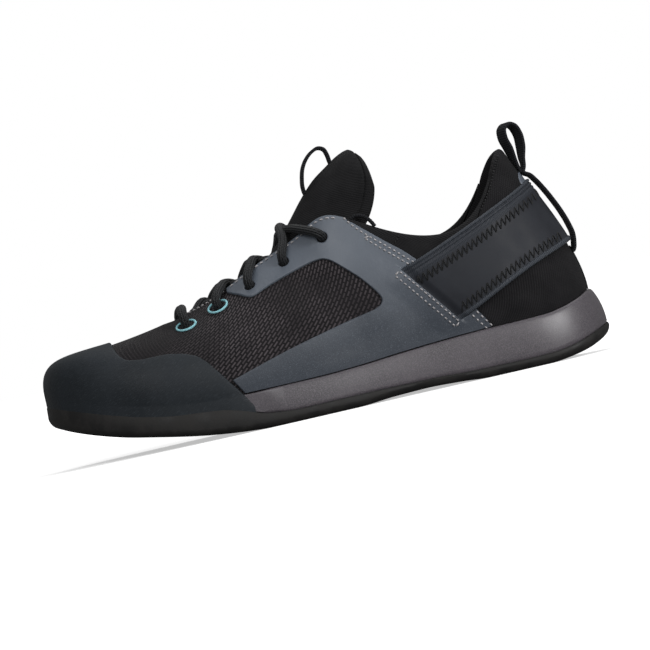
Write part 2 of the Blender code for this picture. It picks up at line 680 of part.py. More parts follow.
def skin_slab(first, last, rows, low, thickness, name, paint):
    """Solid on the upper, on its own columns from one number to another, over an offset."""
    s = np.arange(first, last + 1)[:, None] / RING_COUNT
    t = np.asarray(rows, float)[None, :]
    s, t = np.broadcast_arrays(s, t)
    base = low(s, t)
    points, faces = slab(shell(s, t, base + thickness), shell(s, t, base))
    return make_object(name, points, faces, paint)


# Columns of the upper that the overlays and the strap reach over, and their rows
QUARTER_COLUMNS = (12, 31)
STRAP_COLUMNS = (21, 57)
QUARTER_ROWS = (0.012, *OUTER_ROWS[1:])
STRAP_ROWS = (0.03, *OUTER_ROWS[1:-1], 0.97)


def build_quarter(name, side, paint):
    """Slate overlay of one side, cut from a skin over the upper."""
    first, last = QUARTER_COLUMNS
    if side > 0:
        first, last = RING_COUNT - last, RING_COUNT - first
    piece = skin_slab(first, last, QUARTER_ROWS, lambda s, t: np.full(s.shape, QUARTER_GAP),
                      QUARTER_THICKNESS, name, paint)
    middle, far = side * 2, side * BALL_WIDTH
    boolean(piece, side_prism(soft_outline(QUARTER_OUTLINE), far, middle), "INTERSECT")
    return piece


def strap_base(s, t):
    """Offset of the strap's inner face: above the overlay in front, on the upper behind."""
    x = skin(s, t)[..., 0]
    return GAP + (QUARTER_GAP + QUARTER_THICKNESS) * (1 - ease(x, *STRAP_SETTLES_X))


def build_strap(paint):
    """Wide strap from slit to slit round the heel."""
    piece = skin_slab(*STRAP_COLUMNS, STRAP_ROWS, strap_base, STRAP_THICKNESS, "heel_strap", paint)
    boolean(piece, side_prism(soft_outline(STRAP_OUTLINE), -BALL_WIDTH, BALL_WIDTH), "INTERSECT")
    return piece


# Tongue, one row for each section from its front end to its top edge.
# cx, cz: middle of its front face. ex, ez: its edge. half: half width. turn: how far it wraps, in degrees
TONGUE_ROWS = sized([
    (-86.3, 56.6, -84.3, 52.4, 15.0, 50.0),
    (-70.3, 59.8, -67.8, 54.0, 17.0, 55.0),
    (-54.2, 64.2, -50.3, 55.7, 19.0, 58.0),
    (-38.1, 71.0, -32.0, 59.3, 21.0, 62.0),
    (-23.1, 80.2, -13.5, 64.5, 21.5, 68.0),
    (-12.0, 89.7, 4.0, 70.2, 21.5, 75.0),
    (-4.0, 99.0, 20.0, 77.7, 22.0, 82.0),
    (4.0, 108.5, 30.0, 86.6, 23.2, 86.0),
    (12.0, 116.6, 36.3, 95.6, 24.5, 88.0),
    (20.1, 122.2, 39.8, 104.6, 25.0, 88.0),
    (26.1, 126.0, 40.4, 111.0, 24.0, 88.0),
    (30.6, 128.0, 39.6, 117.8, 20.5, 88.0),
    (33.8, 128.6, 37.4, 123.6, 14.5, 88.0),
], "xzxzy.")
TONGUE_COLUMNS = 13
TONGUE_LOW_THICKNESS = 2.6
TONGUE_HIGH_THICKNESS = 5.0
# Between these two x the tongue's padding grows. Its sides thin by a share, with a power
# of the distance from the middle, and its top edge by half.
TONGUE_PADDING_X = (-30.0, 5.0)
TONGUE_SIDE_THINNING = 0.45
TONGUE_SIDE_POWER = 6
TONGUE_TOP_THINNING = 0.5


def tongue_front(rows):
    """Grid of the tongue's front face, one row for each section."""
    u = np.linspace(-1.0, 1.0, TONGUE_COLUMNS)
    grid = []
    for cx, cz, ex, ez, half, turn in rows:
        angle = np.radians(turn) * u
        full = math.radians(turn)
        drop = (1 - np.cos(angle)) / (1 - math.cos(full))
        grid.append(stack(cx + (ex - cx) * drop, half * np.sin(angle) / math.sin(full),
                          cz + (ez - cz) * drop))
    return np.array(grid)


def build_tongue(paint):
    """Padded tongue that wraps the front of the ankle."""
    front = tongue_front(TONGUE_ROWS)
    down = np.gradient(front, axis=0)
    across = np.gradient(front, axis=1)
    normal = np.cross(down, across)
    normal /= np.linalg.norm(normal, axis=-1, keepdims=True)
    share = ease(front[:, TONGUE_COLUMNS // 2, 0], *TONGUE_PADDING_X)
    thick = TONGUE_LOW_THICKNESS + (TONGUE_HIGH_THICKNESS - TONGUE_LOW_THICKNESS) * share
    away = np.abs(np.linspace(-1.0, 1.0, TONGUE_COLUMNS))
    edge = 1 - TONGUE_SIDE_THINNING * away**TONGUE_SIDE_POWER
    depth = thick[:, None] * edge[None, :]
    depth[-1] *= 1 - TONGUE_TOP_THINNING
    back = front - normal * depth[..., None]
    points, faces = slab(front, back)
    return make_object("tongue", points, faces, paint)


# Eyelets seen from the side, lowest first: x, z
EYELETS = sized([(-67.8, 58.4), (-49.9, 63.4), (-31.9, 70.4), (-12.7, 78.6), (8.4, 86.8)], "xz")
RINGED_EYELETS = 2
RING_LIFT = GAP + RING_THREAD + 0.35
# Lace: lift of its middle over the upper, and its end's place inside the throat's edge
LACE_LIFT = QUARTER_GAP + QUARTER_THICKNESS + GAP + LACE_RADIUS + 0.4
LACE_INSET = 3.0
LACE_DROP = 1.1
# Strands, lowest first. pair: eyelet pair it starts at. out: starts outside (1) or inside
# the throat (0). edge: x where it passes that edge. x, z: its middle. The last three say
# the same of its other end.
LACE_ROWS = [
    # pair out edge   x      z    out edge  pair
    (0, 1, -67.5, -67.5, 65.6, 1, -67.5, 0),
    (0, 0, -61.5, -56.5, 67.9, 0, -52.0, 1),
    (1, 1, -47.5, -42.4, 74.5, 0, -37.0, 2),
    (2, 1, -31.0, -25.6, 83.2, 0, -19.5, 3),
    (3, 1, -14.8, -10.8, 95.8, 1, -1.5, 4),
]

# Heel webbing over the strap, and the loops at the heel and on the tongue: middle lines
# seen from the side: x, z
WEB_PATH = sized([
    (119.0, 97.4), (121.5, 95.9), (124.2, 92.4), (127.2, 87.4), (130.3, 81.3), (133.3, 74.5),
    (135.7, 67.4), (136.9, 61.5), (136.6, 57.6), (135.6, 53.9),
], "xz")
HEEL_LOOP_PATH = sized([
    (119.4, 99.9), (119.9, 105.5), (120.9, 112.0), (120.6, 117.9), (118.2, 122.4), (114.8, 123.6),
    (112.2, 121.6), (111.7, 117.5), (113.6, 111.2), (115.3, 105.4), (117.0, 99.8),
], "xz")
TONGUE_LOOP_PATH = sized([
    (2.6, 108.9), (4.9, 111.9), (7.1, 116.5), (8.9, 122.4), (11.3, 126.9), (14.4, 129.9),
    (17.4, 131.7), (20.0, 132.1), (21.8, 130.3), (22.6, 127.4), (22.6, 124.8),
], "xz")
# The heel loop turns about its foot by an angle that grows from one height to another
LOOP_TURN = 20.0
LOOP_TURN_Z = (99.0, 113.0)


def build_web(paint):
    """Webbing that bridges the strap down the middle of the heel."""
    points, faces = ribbon(smooth_path(WEB_PATH, 12), WEB_WIDTH, WEB_THICKNESS)
    return make_object("heel_pull_web", points, faces, paint)


def build_heel_loop(paint):
    """Finger loop above the webbing, folded from the same band."""
    def turn(z):
        return LOOP_TURN * float(ease(z, *LOOP_TURN_Z))

    points, faces = ribbon(HEEL_LOOP_PATH, WEB_WIDTH - 1, WEB_THICKNESS, closed=True, turn=turn)
    return make_object("heel_pull_loop", points, faces, paint)


def build_tongue_loop(paint):
    """Thin loop on the front of the tongue, its lower end sewn flat."""
    path = smooth_path(TONGUE_LOOP_PATH, 17)
    points, faces = ribbon(path, TONGUE_LOOP_WIDTH, TONGUE_LOOP_THICKNESS)
    return make_object("tongue_pull_loop", points, faces, paint)


def build_rings(paint):
    """Thread rings sewn round the lowest eyelets."""
    turns, sides = 12, 4
    for index, (x, z) in enumerate(EYELETS[:RINGED_EYELETS], 1):
        for side, word in ((-1, "lateral"), (1, "medial")):
            s, t = find_skin(x, z, side)
            centre = shell(s, t, RING_LIFT)
            normal = skin_normal(s, t)
            along = np.cross(normal, (0.0, 1.0, 0.0))
            along /= np.linalg.norm(along)
            up = np.cross(normal, along)
            points = []
            for i in range(turns):
                angle = 2 * math.pi * i / turns
                spoke = math.cos(angle) * along + math.sin(angle) * up
                for k in range(sides):
                    bend = 2 * math.pi * k / sides
                    reach = RING_RADIUS + RING_THREAD * math.cos(bend)
                    points.append(centre + spoke * reach + normal * RING_THREAD * math.sin(bend))
            faces = grid_faces(turns, sides, wrap_rows=True, wrap_columns=True)
            make_object(f"eyelet_ring_{index}_{word}", points, faces, paint)


def throat_edge(x, side, lift):
    """Point at x on the throat's edge, lifted off the upper."""
    reach = np.linspace(0.0, 0.32, 161)
    s = reach if side < 0 else 1 - reach
    place = float(np.interp(x, skin(s, 1.0)[:, 0], s))
    return shell(place, 1.0, lift)


def lace_end(side, pair, outside, edge_x):
    """Points of a strand from its end to where it passes the throat's edge."""
    if outside:
        s, t = find_skin(*EYELETS[pair], side)
        return [shell(s, t, LACE_LIFT), throat_edge(edge_x, side, LACE_LIFT)]
    return [throat_edge(edge_x, side, 0.0) - np.array([0.0, side * LACE_INSET, LACE_DROP])]


def lace_strand(row, side):
    """Round bar of one strand that starts on the given side."""
    pair, outside, edge_x, x, z, last_outside, last_edge_x, last_pair = row
    path = lace_end(side, pair, outside, edge_x) + [np.array([x, 0.0, z])]
    path += lace_end(-side, last_pair, last_outside, last_edge_x)[::-1]
    return tube(smooth_path(path, 8), LACE_RADIUS)


def build_laces(paint):
    """Bar at the lowest eyelets and the crossings above it, each joined at its middle."""
    make_object("lace_bar", *lace_strand(LACE_ROWS[0], -1), paint)
    for index, row in enumerate(LACE_ROWS[1:], 1):
        cross = make_object(f"lace_crossing_{index}", *lace_strand(row, -1), paint)
        boolean(cross, make_object("strand", *lace_strand(row, 1)), "UNION")


def main():
    for thing in list(bpy.data.objects):
        bpy.data.objects.remove(thing)
    rubber = material("black_rubber", (0.018, 0.018, 0.019), 0.75)
    foam = material("grey_foam", (0.10, 0.09, 0.105), 0.5)
    knit = material("charcoal_knit", (0.03, 0.026, 0.027), 0.9)
    stretch = material("black_stretch", (0.012, 0.012, 0.013), 0.9)
    slate = material("slate_film", (0.09, 0.105, 0.125), 0.5)
    strap = material("strap_fabric", (0.032, 0.035, 0.043), 0.8)
    webbing = material("black_webbing", (0.01, 0.01, 0.012), 0.85)
    thread = material("pale_blue_thread", (0.27, 0.62, 0.70), 0.6)
    build_outsole(rubber)
    build_midsole(foam)
    build_upper(knit)
    build_insole(stretch)
    build_rand(rubber)
    build_quarter("quarter_lateral", -1, slate)
    build_quarter("quarter_medial", 1, slate)
    build_strap(strap)
    build_tongue(stretch)
    build_web(webbing)
    build_heel_loop(webbing)
    build_tongue_loop(webbing)
    build_rings(thread)
    build_laces(webbing)


main()
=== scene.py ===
"""Looks of the approach shoe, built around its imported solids.

Frame: toe towards -X, heel towards +X, outer (lateral) side towards -Y, +Z up. Tables and
lengths are in millimetres, and meshes are scaled to metres when they are made.
A place on the upper is named by s and t: s runs once round the shoe, from the toe (0) by
the lateral side to the heel (0.5) and back by the medial side, and t runs up the wall
from the sole (0) to the top edge (1). Places "seen from the side" are x, z.
"""
import math

import bmesh
import bpy
import numpy as np
from mathutils import Matrix, Vector


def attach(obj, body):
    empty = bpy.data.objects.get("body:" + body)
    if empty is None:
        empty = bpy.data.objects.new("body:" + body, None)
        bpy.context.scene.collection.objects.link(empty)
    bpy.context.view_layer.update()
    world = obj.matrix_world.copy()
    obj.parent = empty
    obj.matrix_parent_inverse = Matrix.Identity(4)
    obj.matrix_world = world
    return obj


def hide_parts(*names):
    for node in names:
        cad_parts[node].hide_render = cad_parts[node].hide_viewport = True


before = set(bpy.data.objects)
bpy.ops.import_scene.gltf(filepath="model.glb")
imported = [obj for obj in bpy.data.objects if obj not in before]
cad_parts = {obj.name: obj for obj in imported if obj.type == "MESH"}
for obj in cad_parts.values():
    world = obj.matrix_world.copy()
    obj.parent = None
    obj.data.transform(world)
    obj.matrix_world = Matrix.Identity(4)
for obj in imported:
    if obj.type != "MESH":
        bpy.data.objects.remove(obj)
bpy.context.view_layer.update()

MM = 0.001

# Camera of the photograph: it looks across the lateral side, a little from the toe
CAMERA_TURN = math.radians(5.0)
CAMERA_ROLL = math.radians(12.65)
CAMERA_DISTANCE = 1800.0
CAMERA_AIM_ALONG = 2.4
CAMERA_AIM_HEIGHT = 43.7
CAMERA_VIEW_WIDTH = 331.0
CAMERA_SENSOR = 36.0
CAMERA_CLIP = (0.05, 60.0)


def build_camera():
    """Camera at the photograph's angle, rolled so that the heel stands high in the view."""
    across = Vector((math.cos(CAMERA_TURN), -math.sin(CAMERA_TURN), 0.0))
    forward = Vector((math.sin(CAMERA_TURN), math.cos(CAMERA_TURN), 0.0))
    above = Vector((0.0, 0.0, 1.0))
    right = across * math.cos(CAMERA_ROLL) - above * math.sin(CAMERA_ROLL)
    up = across * math.sin(CAMERA_ROLL) + above * math.cos(CAMERA_ROLL)
    aim = across * CAMERA_AIM_ALONG + above * CAMERA_AIM_HEIGHT
    place = (aim - forward * CAMERA_DISTANCE) * MM
    data = bpy.data.cameras.new("camera")
    data.sensor_width = CAMERA_SENSOR
    data.lens = CAMERA_SENSOR * CAMERA_DISTANCE / CAMERA_VIEW_WIDTH
    data.clip_start, data.clip_end = CAMERA_CLIP
    camera = bpy.data.objects.new("camera", data)
    turn = Matrix((right, up, -forward)).transposed()
    camera.matrix_world = Matrix.Translation(place) @ turn.to_4x4()
    bpy.context.scene.collection.objects.link(camera)
    bpy.context.scene.camera = camera


# Sizes shared with the solids
GAP = 0.3
UPPER_WALL = 1.9
COLLAR_WALL = 4.6
INSOLE_THICKNESS = 3.6
RAND_THICKNESS = 2.4
RAND_EDGE_THICKNESS = 1.5
RAND_FOOT_SINK = 0.5
QUARTER_THICKNESS = 1.3
STRAP_THICKNESS = 2.2
LACE_RADIUS = 2.1
RING_RADIUS = 5.0
RING_THREAD = 0.6

# One row for each station round the shoe.
# x, y: edge of the sole seen from above. tx, ty, tz: top edge of the upper.
# low, lean: reach and outward lean of the wall above the sole.
# high, slope: reach and steepness of the wall below the top edge.
SECTIONS = [
    # x      y      tx     ty     tz    low  lean  high slope
    (-145.0, 8.0, -77.9, 1.5, 61.9, 24.0, 1.5, 52.0, 11.5),      # toe
    (-141.5, -8.0, -77.2, -2.6, 62.1, 23.5, 2.0, 50.0, 12.0),
    (-130.0, -23.5, -75.4, -5.8, 62.4, 22.0, 3.0, 43.0, 14.0),
    (-109.5, -37.5, -72.0, -8.2, 62.9, 21.0, 6.0, 34.0, 18.0),
    (-82.0, -47.5, -63.2, -9.9, 64.9, 22.0, 8.0, 30.0, 21.0),
    (-50.0, -51.1, -45.9, -11.3, 70.6, 24.0, 8.0, 30.0, 28.0),   # lateral ball
    (-19.0, -49.0, -24.1, -13.4, 81.2, 26.0, 6.0, 32.0, 39.0),
    (13.0, -43.5, -2.6, -18.2, 90.5, 28.0, 4.0, 33.0, 54.0),
    (46.0, -38.8, 14.7, -24.5, 96.9, 28.0, 3.0, 34.0, 68.0),
    (78.0, -36.8, 40.8, -30.5, 82.6, 22.0, 4.0, 22.0, 82.0),     # lateral waist
    (108.0, -34.8, 72.3, -31.0, 75.2, 20.0, 5.0, 20.0, 84.0),
    (130.0, -26.0, 94.0, -25.5, 90.2, 22.0, 4.0, 24.0, 78.0),
    (142.0, -11.5, 105.6, -14.0, 107.6, 22.0, 3.0, 27.0, 70.0),
    (145.0, 0.0, 110.6, 0.0, 111.8, 20.0, 2.0, 28.0, 68.0),      # heel
    (142.0, 11.5, 105.6, 14.0, 107.6, 22.0, 3.0, 27.0, 70.0),
    (130.0, 26.0, 94.0, 25.5, 90.2, 22.0, 4.0, 24.0, 78.0),
    (108.0, 34.8, 72.3, 31.0, 75.6, 20.0, 4.0, 20.0, 84.0),
    (78.0, 35.6, 40.8, 30.5, 83.0, 24.0, 2.0, 22.0, 82.0),
    (46.0, 32.6, 14.7, 24.5, 96.9, 30.0, 6.0, 34.0, 68.0),       # medial arch
    (13.0, 33.6, -2.6, 19.2, 90.5, 28.0, 9.0, 33.0, 54.0),
    (-19.0, 40.5, -24.1, 15.4, 81.2, 26.0, 9.0, 32.0, 39.0),
    (-52.0, 48.5, -45.9, 13.7, 70.6, 24.0, 8.0, 30.0, 28.0),     # medial ball
    (-82.0, 50.9, -63.2, 12.5, 64.9, 22.0, 7.0, 30.0, 21.0),
    (-109.5, 46.0, -72.0, 11.0, 62.9, 21.0, 5.0, 34.0, 18.0),
    (-130.0, 36.0, -75.4, 8.7, 62.4, 22.0, 3.0, 43.0, 14.0),
    (-141.5, 23.5, -77.2, 5.6, 62.1, 23.5, 2.0, 50.0, 12.0),
]

# Heights along the shoe, seen from the side: x, z
SOLE_BOTTOM = [
    (-146, 24.8), (-140, 21.4), (-132, 17.8), (-120, 13.6), (-108, 10.3), (-96, 7.8),
    (-84, 5.4), (-72, 3.3), (-60, 1.7), (-49, 0.6), (-38, 0.0), (6, 0.0), (26, 1.3),
    (44, 1.7), (61, 1.0), (75, 0.0), (107, 0.0), (118, 1.1), (128, 3.0), (136, 5.5), (146, 9.6),
]
OUTSOLE_TOP = [
    (-146, 34.1), (-137, 30.8), (-125, 26.6), (-112, 22.4), (-98, 18.6), (-84, 16.1),
    (-69, 14.7), (-61, 13.8), (-51, 11.2), (-39, 7.4), (-22, 5.9), (13, 6.1), (47, 5.8),
    (69, 5.0), (93, 4.8), (108, 5.1), (117, 6.1), (125, 7.8), (135, 10.9), (146, 14.3),
]
MIDSOLE_TOP = [
    (-146, 38.5), (-131, 33.1), (-116, 28.5), (-102, 24.7), (-82, 21.0), (-63, 19.2),
    (-34, 19.0), (-10, 19.1), (12, 20.0), (34, 21.7), (56, 23.1), (76, 24.0), (98, 24.4),
    (110, 24.8), (118, 26.0), (125, 27.7), (132, 30.1), (136, 31.7), (146, 33.2),
]
# How far the upper's foot stands inside the edge of the sole: x, inset
UPPER_INSET = [(-146, 3.0), (-62, 3.0), (-30, 4.6), (100, 5.0), (125, 5.6), (146, 7.3)]
# How far the midsole's side swells outside the upper's foot, from 0 to 1: x, share
MIDSOLE_SWELL = [(-146, 0.0), (-42, 0.0), (-27, 1.0), (146, 1.0)]
# Upper edge of the toe rand, seen from the side: x, z
RAND_EDGE = [
    (-106.4, 59.5), (-105.6, 54.5), (-103.5, 50.0), (-99.3, 47.2), (-91.4, 46.2),
    (-83.6, 46.2), (-74.8, 45.0), (-68.0, 42.6), (-63.3, 38.9), (-58.7, 32.9),
    (-53.2, 25.1), (-48.9, 19.2), (-42.7, 9.0),
]
RAND_REAR_END = -44.6

# Slate overlay, seen from the side: x, z, sharp corner
QUARTER_OUTLINE = [
    (-52.7, 27.0, 1), (-47.4, 18.4, 1), (-47.8, 10.0, 1), (84.0, 10.0, 1), (84.2, 21.6, 1),
    (81.7, 23.7, 1), (76.3, 34.2, 0), (52.0, 65.4, 0), (37.0, 79.4, 0), (25.5, 90.0, 0),
    (22.0, 93.6, 0), (20.8, 108.5, 1), (-31.4, 98.4, 1), (-42.7, 78.5, 1), (-43.5, 69.8, 1),
    (-38.6, 67.5, 0), (-32.7, 65.2, 0), (-23.0, 68.7, 0), (-11.2, 72.6, 0), (1.0, 75.7, 0),
    (8.1, 75.2, 0), (15.5, 68.7, 0), (22.3, 61.7, 0), (28.5, 53.3, 0), (29.6, 49.2, 0),
    (25.4, 46.1, 0), (8.7, 42.7, 0), (-22.8, 35.4, 0),
]
# Slit where the strap comes out: the two ends of its front edge
SLIT_TOP = np.array((42.5, 62.5))
SLIT_BOTTOM = np.array((66.7, 31.3))
# Upper and lower edge of the strap, seen from the side: x, z
STRAP_UPPER = [(25.0, 55.0), (42.5, 62.3), (51.0, 65.3), (64.7, 70.4), (81.8, 77.2), (99.2, 84.7),
               (117.0, 92.8), (150.0, 111.0)]
STRAP_LOWER = [(52.0, 25.5), (66.7, 31.3), (75.5, 35.0), (89.7, 41.6), (108.0, 49.4),
               (134.8, 59.0), (150.0, 65.5)]

# Tongue, one row for each section from its front end to its top edge.
# cx, cz: middle of its front face. ex, ez: its edge. half: half width. turn: wrap in degrees
TONGUE_ROWS = [
    (-86.3, 56.6, -84.3, 52.4, 15.0, 50.0),
    (-70.3, 59.8, -67.8, 54.0, 17.0, 55.0),
    (-54.2, 64.2, -50.3, 55.7, 19.0, 58.0),
    (-38.1, 71.0, -32.0, 59.3, 21.0, 62.0),
    (-23.1, 80.2, -13.5, 64.5, 21.5, 68.0),
    (-12.0, 89.7, 4.0, 70.2, 21.5, 75.0),
    (-4.0, 99.0, 20.0, 77.7, 22.0, 82.0),
    (4.0, 108.5, 30.0, 86.6, 23.2, 86.0),
    (12.0, 116.6, 36.3, 95.6, 24.5, 88.0),
    (20.1, 122.2, 39.8, 104.6, 25.0, 88.0),
    (26.1, 126.0, 40.4, 111.0, 24.0, 88.0),
    (30.6, 128.0, 39.6, 117.8, 20.5, 88.0),
    (33.8, 128.6, 37.4, 123.6, 14.5, 88.0),
]
TONGUE_LOW_THICKNESS = 2.6
TONGUE_HIGH_THICKNESS = 5.0

# Eyelets seen from the side, lowest first: x, z
EYELETS = [(-67.8, 58.4), (-49.9, 63.4), (-31.9, 70.4), (-12.7, 78.6), (8.4, 86.8)]
# Lace: lift of its middle over the upper, and its place inside the throat's edge
LACE_LIFT = 3.6
LACE_INSET = 3.0
LACE_DROP = 1.1
# Strands, lowest first. pair: eyelet pair it starts at. out: starts outside (1) or inside
# the throat (0). edge: x where it passes that edge. x, z: its middle. The last three say
# the same of its other end.
LACE_ROWS = [
    # pair out edge   x      z    out edge  pair
    (0, 1, -66.6, -67.3, 64.8, 1, -66.6, 0),
    (0, 0, -61.0, -56.5, 67.0, 0, -52.0, 1),
    (1, 1, -44.4, -41.2, 73.8, 0, -37.0, 2),
    (2, 1, -27.4, -24.6, 82.2, 0, -19.5, 3),
    (3, 1, -9.4, -9.6, 95.6, 1, 0.0, 4),
]

# Heel webbing over the strap, and the loops at the heel and on the tongue: middle lines
# seen from the side: x, z. They run a little way into what they are sewn to, and the
# tongue loop's front foot stands further back than in its solid.
WEB_PATH = [
    (118.2, 98.3), (119.0, 97.4), (121.5, 95.9), (124.2, 92.4), (127.2, 87.4), (130.3, 81.3),
    (133.3, 74.5), (135.7, 67.4), (136.9, 61.5), (136.6, 57.6), (135.6, 53.9), (134.9, 52.9),
]
HEEL_LOOP_PATH = [
    (118.6, 98.2), (119.4, 99.9), (119.9, 105.5), (120.9, 112.0), (120.6, 117.9), (118.2, 122.4),
    (114.8, 123.6), (112.2, 121.6), (111.7, 117.5), (113.6, 111.2), (115.3, 105.4), (117.0, 99.8),
    (117.6, 98.2),
]
TONGUE_LOOP_PATH = [
    (9.6, 107.6), (7.2, 110.6), (6.6, 114.4), (7.2, 119.0), (8.7, 124.0), (11.4, 128.2),
    (15.0, 131.2), (18.4, 132.4), (21.0, 131.3), (22.3, 128.2), (22.8, 124.8), (23.4, 121.8),
]
# The heel loop turns about its foot by an angle that grows from one height to another
LOOP_TURN = 20.0
LOOP_TURN_Z = (99.0, 113.0)
# Bands: name, replaced node, path, points along it, width, thickness, turn in degrees
BANDS = [
    ("heel_web_band", "heel_pull_web", WEB_PATH, 90, 10.0, 1.8, 0.0),
    ("heel_loop_band", "heel_pull_loop", HEEL_LOOP_PATH, 150, 9.0, 1.8, LOOP_TURN),
    ("tongue_loop_band", "tongue_pull_loop", TONGUE_LOOP_PATH, 110, 8.0, 1.7, 0.0),
]


# Curves and surfaces of the shoe, as in its solids

def ring_curve(values):
    """Smooth closed curve through numbers given at equal steps of s."""
    points = np.asarray(values, float)
    count = len(points)
    identity = np.eye(count)
    system = 4 * identity + np.roll(identity, 1, axis=1) + np.roll(identity, -1, axis=1)
    bend = np.roll(points, 1) - 2 * points + np.roll(points, -1)
    second = np.linalg.solve(system, 6 * bend)

    def value(s):
        place = (np.asarray(s, float) % 1.0) * count
        first = np.floor(place).astype(int) % count
        after = (first + 1) % count
        part = place - np.floor(place)
        rest = 1 - part
        straight = rest * points[first] + part * points[after]
        return straight + (rest**3 - rest) * second[first] / 6 + (part**3 - part) * second[after] / 6

    return value


def bend_between(u, span, first, last, first_slope, last_slope):
    """Value at share u of a soft stretch with a span, two ends and their slopes."""
    start = (1 + 2 * u) * (1 - u) ** 2 * first + u * (1 - u) ** 2 * span * first_slope
    end = u * u * (3 - 2 * u) * last + u * u * (u - 1) * span * last_slope
    return start + end


def profile(table):
    """Smooth curve through (x, z) rows that never swings past them."""
    xs = np.array([row[0] for row in table], float)
    zs = np.array([row[1] for row in table], float)
    steps = np.diff(xs)
    rises = np.diff(zs) / steps
    slopes = np.zeros(len(xs))
    slopes[0] = rises[0]
    slopes[-1] = rises[-1]
    for i in range(1, len(xs) - 1):
        if rises[i - 1] * rises[i] > 0:
            slopes[i] = 2 * rises[i - 1] * rises[i] / (rises[i - 1] + rises[i])

    def value(x):
        x = np.clip(np.asarray(x, float), xs[0], xs[-1])
        i = np.clip(np.searchsorted(xs, x, side="right") - 1, 0, len(steps) - 1)
        u = (x - xs[i]) / steps[i]
        return bend_between(u, steps[i], zs[i], zs[i + 1], slopes[i], slopes[i + 1])

    return value


SECTION_CURVES = [ring_curve([row[c] for row in SECTIONS]) for c in range(9)]
sole_bottom = profile(SOLE_BOTTOM)
outsole_top = profile(OUTSOLE_TOP)
midsole_top = profile(MIDSOLE_TOP)
upper_inset = profile(UPPER_INSET)
midsole_swell = profile(MIDSOLE_SWELL)
rand_edge = profile(RAND_EDGE)
strap_upper = profile(STRAP_UPPER)
strap_lower = profile(STRAP_LOWER)


def stack(x, y, z):
    return np.stack(np.broadcast_arrays(x, y, z), axis=-1)


def outline(s, inset=0.0):
    """Edge of the sole seen from above, moved inwards by inset, and its outward direction."""
    s = np.asarray(s, float)
    step = 0.002
    x, y = SECTION_CURVES[0](s), SECTION_CURVES[1](s)
    dx = SECTION_CURVES[0](s + step) - SECTION_CURVES[0](s - step)
    dy = SECTION_CURVES[1](s + step) - SECTION_CURVES[1](s - step)
    length = np.hypot(dx, dy)
    nx, ny = dy / length, -dx / length
    return x - inset * nx, y - inset * ny, nx, ny


def feather(s):
    """Foot of the upper on the midsole."""
    x, _, _, _ = outline(s)
    fx, fy, nx, ny = outline(s, upper_inset(x))
    return fx, fy, midsole_top(fx) + GAP, nx, ny


def skin(s, t):
    """Outer face of the upper: one cubic arch from the sole to the top edge."""
    s, t = np.broadcast_arrays(np.asarray(s, float), np.asarray(t, float))
    fx, fy, fz, nx, ny = feather(s)
    tx, ty, tz, low, lean, high, slope = [curve(s) for curve in SECTION_CURVES[2:]]
    lean, slope = np.radians(lean), np.radians(slope)
    foot = stack(fx, fy, fz)
    top = stack(tx, ty, tz)
    rise = foot + stack(low * np.sin(lean) * nx, low * np.sin(lean) * ny, low * np.cos(lean))
    fall = top + stack(high * np.cos(slope) * nx, high * np.cos(slope) * ny, -high * np.sin(slope))
    u = t[..., None]
    return (1 - u) ** 3 * foot + 3 * u * (1 - u) ** 2 * rise + 3 * u * u * (1 - u) * fall + u**3 * top


def skin_normal(s, t):
    s, t = np.broadcast_arrays(np.asarray(s, float), np.asarray(t, float))
    ds, dt = 0.002, 0.01
    along = skin(s + ds, t) - skin(s - ds, t)
    upwards = skin(s, np.minimum(t + dt, 1.0)) - skin(s, np.maximum(t - dt, 0.0))
    normal = np.cross(along, upwards)
    return normal / np.linalg.norm(normal, axis=-1, keepdims=True)


def ease(value, start, end):
    """Soft step from 0 at start to 1 at end."""
    part = np.clip((np.asarray(value, float) - start) / (end - start), 0.0, 1.0)
    return part * part * (3 - 2 * part)


# Creases and dents of the upper, seen from the side: x, z, half length along and across,
# turn of its long axis in degrees, depth (a trough is negative)
CREASES = [
    (-56.0, 41.0, 13.0, 2.2, 62.0, -0.45),
    (-49.0, 43.0, 14.0, 2.6, 64.0, 0.35),
    (-42.5, 40.0, 12.0, 2.4, 60.0, -0.35),
    (-63.0, 47.0, 10.0, 2.6, 55.0, 0.3),
    (-27.0, 58.0, 12.0, 4.0, 35.0, -0.35),
    (-6.0, 71.5, 12.0, 5.0, 30.0, -0.3),
    (14.0, 83.0, 10.0, 7.0, -40.0, -0.5),
    (27.0, 72.0, 14.0, 6.0, -45.0, 0.4),
    (10.0, 31.0, 24.0, 6.0, 10.0, -0.35),
    (52.0, 35.0, 16.0, 6.0, 12.0, 0.3),
    (96.0, 38.0, 12.0, 3.5, 20.0, -0.3),
    (60.0, 72.0, 9.0, 3.0, -35.0, -0.3),
    (100.0, 96.0, 9.0, 4.0, 60.0, -0.35),
]


def relief(points):
    """Soft troughs and ridges at places on the upper's sides."""
    x, z = points[..., 0], points[..., 2]
    total = np.zeros(x.shape)
    for cx, cz, long_half, short_half, turn, depth in CREASES:
        c, s = math.cos(math.radians(turn)), math.sin(math.radians(turn))
        u = ((x - cx) * c + (z - cz) * s) / long_half
        v = (-(x - cx) * s + (z - cz) * c) / short_half
        total += depth * np.exp(-u * u - v * v)
    return total


def place(s, t, offset):
    """Point over the upper's outer face, with its creases."""
    points = skin(s, t)
    return points + skin_normal(s, t) * (relief(points) + offset)[..., None]


def wall(s, t):
    """Thickness of the upper: thin knit in front, padded at the collar."""
    top_x = SECTION_CURVES[2](s)
    padded = ease(top_x, 12.0, 45.0) * ease(t, 0.35, 0.85)
    return UPPER_WALL + (COLLAR_WALL - UPPER_WALL) * padded


def side_view(s, t):
    """x and z of places on the upper's outer face."""
    points = skin(s, t)
    return points[..., 0], points[..., 2]


